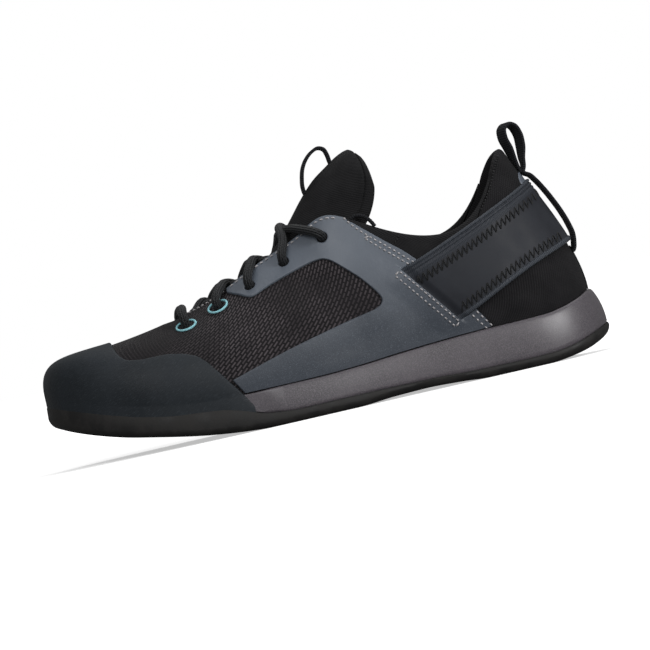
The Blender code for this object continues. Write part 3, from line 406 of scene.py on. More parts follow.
SIDES = ((-1, "lateral"), (1, "medial"))


def on_side(side, reach):
    """s at a reach from the toe along one side."""
    return reach if side < 0 else 1 - reach


def find_skin(x, z, side):
    """s and t of the outer face at x, z seen from one side."""
    best = (0.0, 0.0)
    low_s, high_s, low_t, high_t = 0.02, 0.48, 0.0, 1.0
    for _ in range(7):
        ss, tt = np.meshgrid(np.linspace(low_s, high_s, 25), np.linspace(low_t, high_t, 25))
        near_x, near_z = side_view(on_side(side, ss), tt)
        miss = (near_x - x) ** 2 + (near_z - z) ** 2
        k = np.unravel_index(np.argmin(miss), miss.shape)
        best = (float(ss[k]), float(tt[k]))
        reach_s, reach_t = (high_s - low_s) / 8, (high_t - low_t) / 8
        low_s, high_s = max(best[0] - reach_s, 0.0), min(best[0] + reach_s, 0.5)
        low_t, high_t = max(best[1] - reach_t, 0.0), min(best[1] + reach_t, 1.0)
    return on_side(side, best[0]), best[1]


def lengths(points):
    """Way along a line of points, from 0 at the first one."""
    return np.concatenate([[0.0], np.cumsum(np.linalg.norm(np.diff(points, axis=0), axis=1))])


def read_line(ways, reach, points):
    """Places on a line of points, whose own ways are reach, at other ways along it."""
    return np.stack([np.interp(ways, reach, points[:, k]) for k in range(points.shape[1])], axis=1)


def arc_table(count=521):
    """Length round the shoe from the toe, and up the wall, for the surface's own coordinates."""
    s = np.linspace(0.0, 1.0, count)
    along = lengths(skin(s, 0.4))
    rise = skin(s[:, None], np.linspace(0.0, 1.0, 41)[None, :])
    height = np.linalg.norm(np.diff(rise, axis=1), axis=2).sum(axis=1)
    return s, along, height


ARC_S, ARC_ALONG, ARC_HEIGHT = arc_table()


def surface_place(s, t):
    """Coordinates in millimetres along the shoe and up the wall."""
    s = np.asarray(s, float)
    turns = np.floor(s)
    along = np.interp(s - turns, ARC_S, ARC_ALONG) + turns * ARC_ALONG[-1]
    return along, t * np.interp(s - turns, ARC_S, ARC_HEIGHT)


def height_at(s):
    return np.interp(np.asarray(s, float) % 1.0, ARC_S, ARC_HEIGHT)


# Mesh helpers

def finish_piece(name, slot, points, faces, uv, replaced=(), angle=40, paint=None):
    """Piece from points in millimetres that rides on the shoe, in its slot's paint or another."""
    mesh = bpy.data.meshes.new(name)
    mesh.from_pydata((np.asarray(points, float) * MM).tolist(), [], faces)
    work = bmesh.new()
    work.from_mesh(mesh)
    bmesh.ops.recalc_face_normals(work, faces=work.faces)
    work.to_mesh(mesh)
    work.free()
    layer = mesh.uv_layers.new(name="surface")
    corner = np.zeros(len(mesh.loops), int)
    mesh.loops.foreach_get("vertex_index", corner)
    layer.data.foreach_set("uv", np.asarray(uv, float)[corner].ravel())
    mesh.materials.append(PAINTS[paint or slot])
    mesh.shade_smooth()
    mesh.set_sharp_from_angle(angle=math.radians(angle))
    piece = bpy.data.objects.new(name, mesh)
    bpy.context.scene.collection.objects.link(piece)
    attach(piece, "root")
    if replaced:
        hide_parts(*replaced)
    return piece


def grid_faces(rows, columns, wrap_rows=False, wrap_columns=False):
    """Quads of a grid whose points are stored row after row."""
    faces = []
    for i in range(rows if wrap_rows else rows - 1):
        for j in range(columns if wrap_columns else columns - 1):
            a, b = i * columns + j, i * columns + (j + 1) % columns
            c = ((i + 1) % rows) * columns + (j + 1) % columns
            d = ((i + 1) % rows) * columns + j
            faces.append((a, b, c, d))
    return faces


def sheet_piece(name, slot, outer, inner, uv, replaced):
    """Closed piece between two grids of points, outer and inner, with the same coordinates."""
    rows, count = outer.shape[:2]
    total = rows * count
    points = np.concatenate([outer.reshape(-1, 3), inner.reshape(-1, 3)])
    faces = grid_faces(rows, count)
    faces += [tuple(total + v for v in reversed(face)) for face in faces]
    border = list(range(count))
    border += [i * count + count - 1 for i in range(1, rows)]
    border += [(rows - 1) * count + j for j in range(count - 2, -1, -1)]
    border += [i * count for i in range(rows - 2, 0, -1)]
    faces += [(b, a, total + a, total + b) for a, b in zip(border, border[1:] + border[:1])]
    uv = uv.reshape(-1, 2)
    return finish_piece(name, slot, points, faces, np.concatenate([uv, uv]), replaced)


def rounded(depth, radius):
    """Share of the full thickness at a depth inside a rounded edge."""
    part = np.clip(depth / radius, 0.0, 1.0)
    return np.sqrt(np.maximum(0.0, 1 - (1 - part) ** 2))


# The patch's own space: s and t are stretched so that its cells have a fair size
PATCH_S = 700.0
PATCH_T = 90.0
# Distance inside a patch from which its profile stays even
PATCH_DEPTH = 5.0
# Distance below which a point lies on the patch's edge, where its two faces meet
PATCH_SHUT = 1e-4
# Step of t that gives the direction in which a patch's top edge rises
RISE_STEP = 0.03


def cut_patch(s_range, t_range, counts, field, levels):
    """Cells of the upper where the field is positive, cut along its zero line and its levels."""
    s = np.linspace(*s_range, counts[0] + 1)[:, None]
    t = np.linspace(*t_range, counts[1] + 1)[None, :]
    s, t = np.broadcast_arrays(s, t)
    depth = field(s, t)
    near = np.minimum(depth, PATCH_DEPTH)
    keep = np.maximum.reduce([depth[:-1, :-1], depth[1:, :-1], depth[1:, 1:], depth[:-1, 1:]]) > 0
    points = np.stack([s * PATCH_S, t * PATCH_T, near], axis=-1).reshape(-1, 3)
    columns = counts[1] + 1
    faces = []
    for i, j in zip(*np.nonzero(keep)):
        a = int(i * columns + j)
        faces.append((a, a + columns, a + columns + 1, a + 1))
    mesh = bpy.data.meshes.new("cells")
    mesh.from_pydata(points.tolist(), [], faces)
    work = bmesh.new()
    work.from_mesh(mesh)
    loose = [v for v in work.verts if not v.link_faces]
    bmesh.ops.delete(work, geom=loose, context="VERTS")
    for level in (0.0, *levels):
        geometry = list(work.verts) + list(work.edges) + list(work.faces)
        bmesh.ops.bisect_plane(work, geom=geometry, dist=1e-5, plane_co=(0, 0, level),
                               plane_no=(0, 0, 1), clear_inner=level == 0.0)
    work.verts.ensure_lookup_table()
    work.verts.index_update()
    flat = np.array([v.co for v in work.verts], float)
    faces = [tuple(v.index for v in face.verts) for face in work.faces]
    edges = [(edge.verts[0].index, edge.verts[1].index) for edge in work.edges
             if len(edge.link_faces) == 1]
    work.free()
    bpy.data.meshes.remove(mesh)
    return flat[:, 0] / PATCH_S, flat[:, 1] / PATCH_T, flat[:, 2], faces, edges


def patch(name, slot, s_range, t_range, counts, field, offsets, levels, replaced=(), rise=None,
          up_place=None):
    """Closed piece on the upper, between two offsets, whose edge closes where the field is zero."""
    s, t, depth, faces, border = cut_patch(s_range, t_range, counts, field, levels)
    low, high = offsets(s, t, depth)
    top, bottom = place(s, t, high), place(s, t, low)
    if rise is not None:
        upwards = skin(s, t) - skin(s, t - RISE_STEP)
        upwards *= (rise(s, t) / np.linalg.norm(upwards, axis=1))[:, None]
        top, bottom = top + upwards, bottom + upwards
    shut = depth < PATCH_SHUT
    bottom_id = np.where(shut, np.arange(len(s)), len(s) + np.cumsum(~shut) - 1)
    points = np.concatenate([top, bottom[~shut]])
    made = list(faces)
    for face in faces:
        if not all(shut[v] for v in face):
            made.append(tuple(int(bottom_id[v]) for v in reversed(face)))
    for a, b in border:
        ring = [a, b, int(bottom_id[b]), int(bottom_id[a])]
        ring = list(dict.fromkeys(ring))
        if len(ring) > 2:
            made.append(tuple(ring))
    along, up = surface_place(s, t)
    if up_place is not None:
        up = up_place(s, t)
    uv = np.stack([along, up], axis=1)
    uv = np.concatenate([uv, uv[~shut]])
    return finish_piece(name, slot, points, made, uv, replaced)


def soft_outline(rows, steps=6):
    """Closed outline through (x, z, corner) rows: soft at 0, sharp at 1."""
    count = len(rows)
    places = [np.array(row[:2], float) for row in rows]
    path = []
    for i in range(count):
        a, b = places[i], places[(i + 1) % count]
        before = a if rows[i][2] else places[i - 1]
        after = b if rows[(i + 1) % count][2] else places[(i + 2) % count]
        for k in range(steps):
            u = k / steps
            curve = 2 * a + (b - before) * u + (2 * before - 5 * a + 4 * b - after) * u * u
            curve = curve + (3 * a - before - 3 * b + after) * u**3
            path.append(tuple(curve / 2))
            if rows[i][2] and rows[(i + 1) % count][2]:
                break
    return np.array(path)


def outline_depth(x, z, path):
    """Distance inside a closed outline seen from the side; negative outside."""
    x, z = np.asarray(x, float), np.asarray(z, float)
    best = np.full(x.shape, 1e9)
    inside = np.zeros(x.shape, bool)
    for (ax, az), (bx, bz) in zip(path, np.roll(path, -1, axis=0)):
        ex, ez = bx - ax, bz - az
        u = np.clip(((x - ax) * ex + (z - az) * ez) / (ex * ex + ez * ez + 1e-12), 0.0, 1.0)
        best = np.minimum(best, (x - ax - u * ex) ** 2 + (z - az - u * ez) ** 2)
        if bz != az:
            crosses = (az > z) != (bz > z)
            inside ^= crosses & (x < ax + (z - az) * ex / ez)
    return np.where(inside, 1.0, -1.0) * np.sqrt(best)


def line_side(x, z, start, end):
    """Distance behind a line seen from the side (towards the heel), and the place along it."""
    along = end - start
    length = np.linalg.norm(along)
    along = along / length
    behind = -(x - start[0]) * along[1] + (z - start[1]) * along[0]
    return behind, ((x - start[0]) * along[0] + (z - start[1]) * along[1]) / length


def smooth_path(points, count):
    """Evenly numbered points on a soft curve through the given ones."""
    points = np.asarray(points, float)
    reach = lengths(points)
    slopes = np.gradient(points, reach, axis=0)
    ways = np.linspace(0.0, reach[-1], count)
    i = np.minimum(np.searchsorted(reach, ways, side="right") - 1, len(points) - 2)
    span = (reach[i + 1] - reach[i])[:, None]
    u = (ways - reach[i])[:, None] / span
    return bend_between(u, span, points[i], points[i + 1], slopes[i], slopes[i + 1])


def even_path(points, step):
    """The same soft curve at even steps of its length."""
    fine = smooth_path(points, 400)
    reach = lengths(fine)
    count = max(2, int(round(reach[-1] / step)) + 1)
    return read_line(np.linspace(0.0, reach[-1], count), reach, fine)


def path_frames(path, hint):
    """Tangent, side and normal along a path; the normal starts near the hint."""
    tangents = np.gradient(path, axis=0)
    tangents /= np.linalg.norm(tangents, axis=1, keepdims=True)
    normals = []
    normal = np.asarray(hint, float)
    for tangent in tangents:
        normal = normal - tangent * np.dot(normal, tangent)
        normal = normal / np.linalg.norm(normal)
        normals.append(normal)
    normals = np.array(normals)
    return tangents, np.cross(tangents, normals), normals


def tube_points(path, across, upward, sides, hint=(0, 0, 1)):
    """Ring points of a bar with an oval section; across and upward are its half sizes."""
    _, side, normal = path_frames(path, hint)
    across = np.broadcast_to(np.asarray(across, float), (len(path),))
    upward = np.broadcast_to(np.asarray(upward, float), (len(path),))
    angle = 2 * math.pi * np.arange(sides) / sides
    ring = side[:, None, :] * (np.cos(angle)[None, :] * across[:, None])[..., None]
    ring = ring + normal[:, None, :] * (np.sin(angle)[None, :] * upward[:, None])[..., None]
    return path[:, None, :] + ring


def grid_uv(across, along):
    """Coordinates of a grid of points from those of its columns and its rows."""
    return np.stack(np.broadcast_arrays(across[None, :], along[:, None]), axis=-1).reshape(-1, 2)


def closed_tube_faces(rows, sides):
    """Faces of a tube stored ring after ring, with a cap at each end."""
    faces = grid_faces(rows, sides, wrap_columns=True)
    faces.append(tuple(range(sides)))
    faces.append(tuple((rows - 1) * sides + v for v in range(sides - 1, -1, -1)))
    return faces


# Sole

SOLE_COUNT = 520


def sole_line(inset, height, lift=0.0):
    """Line round the sole at a height given as a function of x."""
    s = np.arange(SOLE_COUNT) / SOLE_COUNT
    x, _, _, _ = outline(s)
    inset = inset(x) if callable(inset) else inset
    x, y, _, _ = outline(s, inset)
    return stack(x, y, height(x) + lift)


def cap(points, faces, ids, height, across, upwards):
    """Closes a ring of the sole with rungs from its lateral to its medial half."""
    count = len(ids)
    ring = np.array(points)[ids]
    share = np.arange(1, across) / across
    rungs = []
    for j in range(1, count // 2):
        start, end = ring[j], ring[count - j]
        between = start + (end - start) * share[:, None]
        between[:, 2] = height(between[:, 0], between[:, 1])
        rungs.append([ids[j]] + list(range(len(points), len(points) + across - 1)) + [ids[count - j]])
        points.extend(between)
    made = []
    for low, high in zip(rungs, rungs[1:]):
        made += [(low[k], high[k], high[k + 1], low[k + 1]) for k in range(across)]
    made += [(ids[0], rungs[0][k], rungs[0][k + 1]) for k in range(across)]
    made += [(rungs[-1][k], ids[count // 2], rungs[-1][k + 1]) for k in range(across)]
    faces += made if upwards else [tuple(reversed(face)) for face in made]


def ring_piece(name, slot, rings, low_height, high_height, across, replaced):
    """Closed piece from lines round the shoe, lowest first, with both ends capped."""
    points = [p for ring in rings for p in ring]
    faces = grid_faces(len(rings), SOLE_COUNT, wrap_columns=True)
    cap(points, faces, list(range(SOLE_COUNT)), low_height, across[0], False)
    last = (len(rings) - 1) * SOLE_COUNT
    cap(points, faces, list(range(last, last + SOLE_COUNT)), high_height, across[1], True)
    points = np.array(points)
    around = np.interp(np.arange(SOLE_COUNT) / SOLE_COUNT, ARC_S, ARC_ALONG)
    uv = points[:, :2] + 500.0
    for i, ring in enumerate(rings):
        ring = np.array(ring)
        up = ring[:, 2] - sole_bottom(ring[:, 0])
        uv[i * SOLE_COUNT:(i + 1) * SOLE_COUNT] = np.stack([around, up], axis=1)
    return finish_piece(name, slot, points, faces, uv, replaced)


TREAD_DEPTH = 2.2
TREAD_RIM = 7.0
# Ranges of s of the tread's fields, under the ball and under the heel
TREAD_FIELDS = ((0.115, 0.255), (0.33, 0.462))
LUG_RADIUS = 6.5
LUG_PITCH = 21.0
LUG_MARGIN = 2.0
# Rows of lugs: start and end margins, and the way from row to row, as shares of the pitch
LUG_START = 0.6
LUG_END = 0.4
LUG_ROW_STEP = 0.92


def tread_lugs():
    """Middles of the lugs and the range of x of each tread field."""
    fields = []
    for first, last in TREAD_FIELDS:
        s = np.linspace(first, last, 9)
        lateral, medial = outline(s, TREAD_RIM), outline(1 - s, TREAD_RIM)
        start = float(min(lateral[0].min(), medial[0].min()))
        end = float(max(lateral[0].max(), medial[0].max()))
        lugs = []
        row = 0
        x = start + LUG_START * LUG_PITCH
        while x < end - LUG_END * LUG_PITCH:
            left = float(np.interp(x, lateral[0], lateral[1])) + LUG_RADIUS + LUG_MARGIN
            right = float(np.interp(x, medial[0], medial[1])) - LUG_RADIUS - LUG_MARGIN
            number = max(2, int((right - left) / LUG_PITCH) + (1 + row) % 2)
            lugs += [(x, left + (right - left) * k / (number - 1)) for k in range(number)]
            x += LUG_ROW_STEP * LUG_PITCH
            row += 1
        fields.append((start, end, lugs))
    return fields


TREAD = tread_lugs()
EDGE_LINE = np.stack(outline(np.linspace(0.0, 1.0, 400))[:2], axis=1)


def tread_height(x, y):
    """Underside of the outsole with the ground between its lugs sunk in."""
    rim = outline_depth(x, y, EDGE_LINE[::4]) - TREAD_RIM
    sunk = np.zeros(x.shape)
    for start, end, lugs in TREAD:
        inside = np.minimum(rim, np.minimum(x - start, end - x))
        away = np.min([np.hypot(x - lx, y - ly) for lx, ly in lugs], axis=0) - LUG_RADIUS
        sunk = np.maximum(sunk, ease(np.minimum(inside, away), -0.2, 1.0))
    return sole_bottom(x) + TREAD_DEPTH * sunk


# Side of the outsole from its foot up: inset, height over the underside
OUTSOLE_SIDE = ((2.4, 0.0), (1.4, 0.5), (0.5, 1.6), (0.1, 2.6), (0.0, 3.4))


def build_outsole():
    """Rubber outsole with its rim, toe spring, arch and lugs."""
    rings = [sole_line(inset, sole_bottom, lift) for inset, lift in OUTSOLE_SIDE]
    rings += [sole_line(0.3, outsole_top, -0.5), sole_line(0.6, outsole_top)]
    return ring_piece("outsole_rubber", "outsole_rubber", rings, tread_height,
                      lambda x, y: outsole_top(x), (80, 8), ("outsole",))


# Rings of the midsole's side, as shares of its height
MIDSOLE_SHARES = (0.0, 0.05, 0.12, 0.22, 0.35, 0.5, 0.62, 0.72, 0.8, 0.87, 0.93, 0.97, 1.0)


def midsole_inset(x, share):
    """Inset of the midsole's side at a share of its height."""
    plain = upper_inset(x)
    swollen = 0.7 + (plain - 2.6) * share**2.2
    return plain + (swollen - plain) * midsole_swell(x)


# Rounds of the midsole's top and bottom edges: inset, reach as a share of the height
MIDSOLE_TOP_ROUND = (0.7, 0.09)
MIDSOLE_FOOT_ROUND = (0.5, 0.06)


def build_midsole():
    """Foam wedge under the whole foot, its side swelling out from the ball to the heel."""
    def bottom(x, y=0):
        return outsole_top(x) + 0.1

    rings = []
    for share in MIDSOLE_SHARES:
        edge = sum(inset * (1 - rounded(away, reach))
                   for away, (inset, reach) in ((1 - share, MIDSOLE_TOP_ROUND), (share, MIDSOLE_FOOT_ROUND)))
        rings.append(sole_line(lambda x, share=share, edge=edge: midsole_inset(x, share) + edge,
                               lambda x, share=share: bottom(x) + (midsole_top(x) - bottom(x)) * share))
    return ring_piece("midsole_foam", "midsole_foam", rings, bottom,
                      lambda x, y: midsole_top(x), (8, 8), ("midsole",))


# Round of the insole's top edge: extra inset, distance below the top
INSOLE_EDGE = ((0.0, 0.8), (0.3, 0.2), (0.9, 0.0))
# Hollows of the footbed under the heel and the ball: x, half length, half width, depth
INSOLE_HOLLOWS = ((92, 26, 17, 0.7), (-46, 24, 22, 0.5))


def build_insole():
    """Footbed inside, a little hollow under the heel and the ball."""
    def inset(x):
        return upper_inset(x) + UPPER_WALL + 0.5

    def top(x, y):
        hollow = sum(depth * np.exp(-((x - middle) / long_half) ** 2 - (y / wide_half) ** 2)
                     for middle, long_half, wide_half, depth in INSOLE_HOLLOWS)
        return midsole_top(x) + GAP + INSOLE_THICKNESS - hollow

    rings = [sole_line(inset, midsole_top, GAP)]
    for extra, drop in INSOLE_EDGE:
        rings.append(sole_line(lambda x, extra=extra: inset(x) + extra, midsole_top,
                               GAP + INSOLE_THICKNESS - drop))
    piece = ring_piece("insole_cover", "stretch_fabric", rings, lambda x, y: midsole_top(x) + GAP, top,
                       (8, 40), ("insole",))
    return piece


# Upper

# Lines between the upper's fabrics, seen from the side, from the top edge down: x, z
KNIT_LINE = [(2.0, 112.0), (12.0, 98.0), (22.0, 82.0), (38.0, 64.0), (54.0, 44.0), (66.0, 18.0)]
HEEL_LINE = [(106.5, 116.0), (105.4, 110.7), (102.8, 103.9), (99.4, 96.7), (95.1, 89.8),
             (88.8, 82.0), (82.0, 72.0), (78.0, 56.0), (76.0, 40.0), (74.0, 18.0)]


def behind_line(x, z, line):
    """Distance towards the heel from a line that runs down the side."""
    xs, zs = np.array(line)[::-1].T
    line_x = np.interp(z, zs, xs)
    slope = np.interp(z, (zs[1:] + zs[:-1]) / 2, np.diff(xs) / np.diff(zs))
    return (x - line_x) / np.sqrt(1 + slope * slope)


def upper_field(kind):
    """Distance inside one fabric of the upper, to its seams."""
    def seams(s, t):
        x, z = side_view(s, t)
        knit = behind_line(x, z, KNIT_LINE)
        heel = behind_line(x, z, HEEL_LINE)
        if kind == "knit":
            return -knit
        if kind == "heel":
            return heel
        return np.minimum(knit, -heel)
    return seams


# Rise of the top edge's round as a share of the wall, and how far down it reaches
COLLAR_ROUND = 0.25
COLLAR_RISE_REACH = 3.0
# Half round of a seam between two fabrics, and how much of the wall it leaves at its bottom
SEAM_ROUND = 0.5
SEAM_FLOOR = 0.3


def below_top(s, t):
    """Distance below the upper's top edge."""
    return (1 - t) * height_at(s)


def collar_rise(s, t):
    """How far the top edge's round stands above the arch's own end."""
    return COLLAR_ROUND * wall(s, t) * (1 - ease(below_top(s, t), 0.0, COLLAR_RISE_REACH))


# Fabrics: name, kind, slot, range of s, columns of its mesh
FABRICS = [
    ("upper_knit", "knit", "knit_fabric", (-0.36, 0.36), 400),
    ("collar_lateral", "collar", "stretch_fabric", (0.26, 0.49), 200),
    ("collar_medial", "collar", "stretch_fabric", (0.51, 0.74), 200),
    ("heel_counter", "heel", "heel_fabric", (0.33, 0.67), 300),
]
FABRIC_ROWS = 84
# Distances inside the edge at which the mesh is cut, so that its round is even
FABRIC_LEVELS = (0.12, 0.4, 0.8, 1.4, 2.1)


def build_fabric(name, kind, slot, s_range, columns, replaced=()):
    """One fabric of the upper, through its whole wall, with a rounded top edge."""
    seams = upper_field(kind)

    def field(s, t):
        return np.minimum(seams(s, t), below_top(s, t))

    def offsets(s, t, depth):
        half = wall(s, t) / 2
        top = rounded(below_top(s, t) + 1e-6, half)
        seam = rounded(seams(s, t), SEAM_ROUND)
        share = np.maximum(np.minimum(top, SEAM_FLOOR + (1 - SEAM_FLOOR) * seam), 0.0)
        share = np.where(depth < PATCH_SHUT, 0.0, share)
        return -half - half * share, -half + half * share

    return patch(name, slot, s_range, (0.0, 1.0), (columns, FABRIC_ROWS), field, offsets,
                 FABRIC_LEVELS, replaced, collar_rise)


def build_upper():
    """Knit, stretch collar and heel fabric; the collar's two sides are padded."""
    for name, kind, slot, s_range, columns in FABRICS:
        piece = build_fabric(name, kind, slot, s_range, columns, ("upper",) if kind == "knit" else ())


# Slate overlay

# The overlay rises this high over the strap's end, over this reach in front of the slit
SLIT_LIFT = 1.3
SLIT_REACH = 13.0
# Shares of the slit's length between which that rise begins and ends
SLIT_RISE_BEGINS = (-0.12, 0.1)
SLIT_RISE_ENDS = (0.9, 1.12)
# The slit's width. Behind it the overlay is cut away under the strap, from a distance
# behind the slit's line and up to an inset from the strap's edges
SLIT_WIDTH = 6.0
SLIT_END_GAP = 0.2
UNDERCUT_START = 3.0
UNDERCUT_INSET = 4.0


def slit_place(x, z):
    """Distance behind the slit's line, and the share of its length."""
    return line_side(x, z, SLIT_TOP, SLIT_BOTTOM)


def slit_raise(x, z):
    """How far the overlay rises over the strap's end, in front of the slit."""
    behind, share = slit_place(x, z)
    along = ease(share, *SLIT_RISE_BEGINS) * (1 - ease(share, *SLIT_RISE_ENDS))
    return SLIT_LIFT * along * ease(behind, -SLIT_REACH, -1.5) * (1 - ease(behind, 0.0, 0.4))


# Cosine of the strap's slant, which turns a height on it into a distance across it
STRAP_COSINE = 0.91


def strap_edges(x, z):
    """Distances across the strap from its upper and from its lower edge."""
    return (strap_upper(x) - z) * STRAP_COSINE, (z - strap_lower(x)) * STRAP_COSINE


def strap_inside(x, z):
    """Distance inside the strap's upper and lower edge."""
    return np.minimum(*strap_edges(x, z))


QUARTER_PATH = soft_outline(QUARTER_OUTLINE)
EYELET_HOLE = 2.7


def quarter_field(holes):
    """Distance inside the overlay, to its outline, the slit and its eyelets' holes."""
    def field(s, t):
        points = skin(s, t)
        x, z = points[..., 0], points[..., 2]
        depth = np.minimum(outline_depth(x, z, QUARTER_PATH), below_top(s, t))
        behind, _ = slit_place(x, z)
        inside = strap_inside(x, z)
        slot = np.minimum(np.minimum(behind, SLIT_WIDTH - behind), inside - SLIT_END_GAP)
        under = np.minimum(behind - UNDERCUT_START, inside - UNDERCUT_INSET)
        depth = np.minimum(depth, -np.maximum(slot, under))
        for hole in holes:
            away = np.linalg.norm(points - hole, axis=-1) - EYELET_HOLE
            depth = np.minimum(depth, away)
        return depth
    return field


def eyelet_places(side):
    return [skin(*find_skin(x, z, side)) for x, z in EYELETS]


# Ranges of s that hold the overlays
QUARTER_S = {-1: (0.145, 0.405), 1: (0.595, 0.855)}
# Gap under the overlay, and its thickness at its very edge
QUARTER_GAP = 0.05
QUARTER_EDGE = 0.25
QUARTER_EDGE_ROUND = 0.5


def build_quarter(side, word):
    """Slate overlay with its window over the knit, eyelets and the strap's slit."""
    def offsets(s, t, depth):
        low = QUARTER_GAP + slit_raise(*side_view(s, t))
        full = QUARTER_THICKNESS - QUARTER_GAP - QUARTER_EDGE
        return low, low + QUARTER_EDGE + full * rounded(depth, QUARTER_EDGE_ROUND)

    return patch(f"overlay_{word}", "slate_film", QUARTER_S[side], (0.004, 1.0), (300, 130),
                 quarter_field(eyelet_places(side)), offsets, (0.12, 0.4), (f"quarter_{word}",))


# Heel strap

STRAP_S = (0.27, 0.73)
STRAP_WIDTH = 36.0
# How far the strap's end is tucked in front of the slit's line
STRAP_TUCK = 3.0
# Widths of the bindings
UPPER_BINDING = 6.4
LOWER_BINDING = 2.4
# Ridges of the bindings: distance of the middle from the edge, half width, height
UPPER_RIDGES = ((0.9, 0.9, 0.75), (2.9, 0.75, 0.5), (4.9, 0.75, 0.35))
LOWER_RIDGES = ((1.2, 1.2, 0.8),)
# Part of the strap's thickness that its ridges take, and their height at the slit, as a share
RIDGE_ROOM = 0.75
RIDGE_AT_SLIT = 0.3
STRAP_GAP = 0.1
STRAP_END_THICKNESS = 1.0
STRAP_EDGE_ROUND = 0.45
# Where the strap has come out of the slit: distances behind the slit's line
STRAP_OUT = (-1.0, 12.0)
# Where it climbs on the overlay, as distances behind that line, and where it comes down on
# the upper again: x
STRAP_CLIMB = (0.5, 5.0)
STRAP_SETTLE = (92.0, 108.0)
# How far it stands off the heel's curve, and the range of x where that begins
STRAP_HEEL_LIFT = 0.8
STRAP_HEEL = (116.0, 132.0)


def strap_faces(x, z):
    """Offsets of the strap's inner and plain outer face, and how far it is out of the slit."""
    behind, _ = slit_place(x, z)
    low = STRAP_GAP + QUARTER_THICKNESS * ease(behind, *STRAP_CLIMB) * (1 - ease(x, *STRAP_SETTLE))
    low = low + STRAP_HEEL_LIFT * ease(x, *STRAP_HEEL)
    out = ease(behind, *STRAP_OUT)
    thick = STRAP_END_THICKNESS + (STRAP_THICKNESS - STRAP_END_THICKNESS) * out
    return low, low + thick - RIDGE_ROOM, out


def ridges(away, rows):
    """Height of rounded ridges at a distance from the strap's edge."""
    return sum(high * np.sqrt(np.maximum(0.0, 1 - ((away - middle) / half) ** 2))
               for middle, half, high in rows)


def strap_offsets(s, t):
    """Inner and outer offset of the strap with its ridged bindings."""
    x, z = side_view(s, t)
    from_top, from_low = strap_edges(x, z)
    low, high, out = strap_faces(x, z)
    ridge = ridges(from_top, UPPER_RIDGES) + ridges(from_low, LOWER_RIDGES)
    return low, high + ridge * (RIDGE_AT_SLIT + (1 - RIDGE_AT_SLIT) * out)


def build_strap():
    """Wide bound strap from slit to slit round the heel."""
    def field(s, t):
        x, z = side_view(s, t)
        behind, _ = slit_place(x, z)
        return np.minimum(strap_inside(x, z), behind + STRAP_TUCK)

    def offsets(s, t, depth):
        low, high = strap_offsets(s, t)
        middle = (low + high) / 2
        share = rounded(depth, STRAP_EDGE_ROUND)
        return middle - (middle - low) * share, middle + (high - middle) * share

    def up_place(s, t):
        high, low = strap_edges(*side_view(s, t))
        share = ease(low / (low + high), 0.25, 0.75)
        return (1 - share) * low + share * (STRAP_WIDTH - high)

    # The mesh is cut along the strap's edge and along each ridge
    levels = (0.15, 0.45, 0.9, 1.35, 1.8, 2.15, 2.5, 2.9, 3.3, 3.7, 4.15, 4.5, 4.9)
    return patch("heel_strap_bound", "strap_fabric", STRAP_S, (0.02, 0.99), (420, 110), field,
                 offsets, levels, ("heel_strap",), up_place=up_place)


# Rand

def build_rand():
    """Rubber rand round the toe, on the upper and on the midsole's side."""
    reach = np.linspace(0.0, 0.3, 401)
    lateral_end = float(np.interp(RAND_REAR_END, outline(reach)[0], reach))
    medial_end = -float(np.interp(RAND_REAR_END, outline(-reach)[0], reach))
    columns = np.linspace(medial_end, lateral_end, 281)
    shares = np.concatenate([np.linspace(0.0, 0.96, 40), (0.975, 0.987, 0.995, 1.0)])
    inner, outer, along = (np.array(part) for part in zip(*(rand_line(float(s), shares) for s in columns)))
    around = np.broadcast_to(surface_place(columns, 0.0)[0][:, None], along.shape)
    return sheet_piece("toe_rand_rubber", "rand_rubber", outer, inner,
                       np.stack([around, along], axis=-1), ("toe_rand",))


# How the rand thins towards its rear ends: the range of x, and the shares that it loses
# at its foot and at its edge
RAND_REAR = (-62.0, -42.0)
RAND_REAR_THINNING = 0.45
RAND_REAR_EDGE_THINNING = 0.3


def rand_line(s, shares):
    """Inner and outer points of the rand at one s, and their way up from the outsole."""
    fx, fy, fz, nx, ny = (float(v) for v in feather(s))
    foot = float(outsole_top(fx)) - RAND_FOOT_SINK
    t = np.linspace(0.0, 1.0, 401)
    places = skin(s, t)
    inside = (places[:, 0] < RAND_EDGE[0][0]) | (places[:, 2] < rand_edge(places[:, 0]))
    top = t[int(np.argmin(inside))] if not inside.all() else 1.0
    edge = float(rand_edge(fx)) if fx > RAND_EDGE[0][0] else fz + 1
    if edge < fz:
        run = max(edge - foot, 1.2) * shares
        heights = foot + run
        ts = None
    else:
        wall_length = fz - foot
        rise = lengths(places)
        total = wall_length + float(np.interp(top, t, rise))
        run = total * shares
        ts = np.interp(run - wall_length, rise, t)
        heights = np.minimum(foot + run, fz)
    rear = float(ease(fx, *RAND_REAR))
    thick = RAND_THICKNESS * (1 - RAND_REAR_THINNING * rear)
    edge_thick = RAND_EDGE_THICKNESS * (1 - RAND_REAR_EDGE_THINNING * rear)
    thick = thick + (edge_thick - thick) * shares**3
    left = (1 - shares) * max(run[-1], 1.0)
    thick = 0.1 + (thick - 0.1) * rounded(left, 0.7)
    low = stack(np.full(len(shares), fx), np.full(len(shares), fy), heights)
    out = np.tile([nx, ny, 0.0], (len(shares), 1))
    if ts is not None:
        on_skin = heights >= fz - 1e-6
        low[on_skin] = place(s, ts[on_skin], np.zeros(int(on_skin.sum())))
        out[on_skin] = skin_normal(s, ts[on_skin])
    inner, outer = low + out * 0.05, low + out * (0.05 + thick)[:, None]
    for line in (inner, outer):
        line[0, 2] = outsole_top(line[0, 0]) - RAND_FOOT_SINK
    return inner, outer, run


# Tongue, webbing and loops

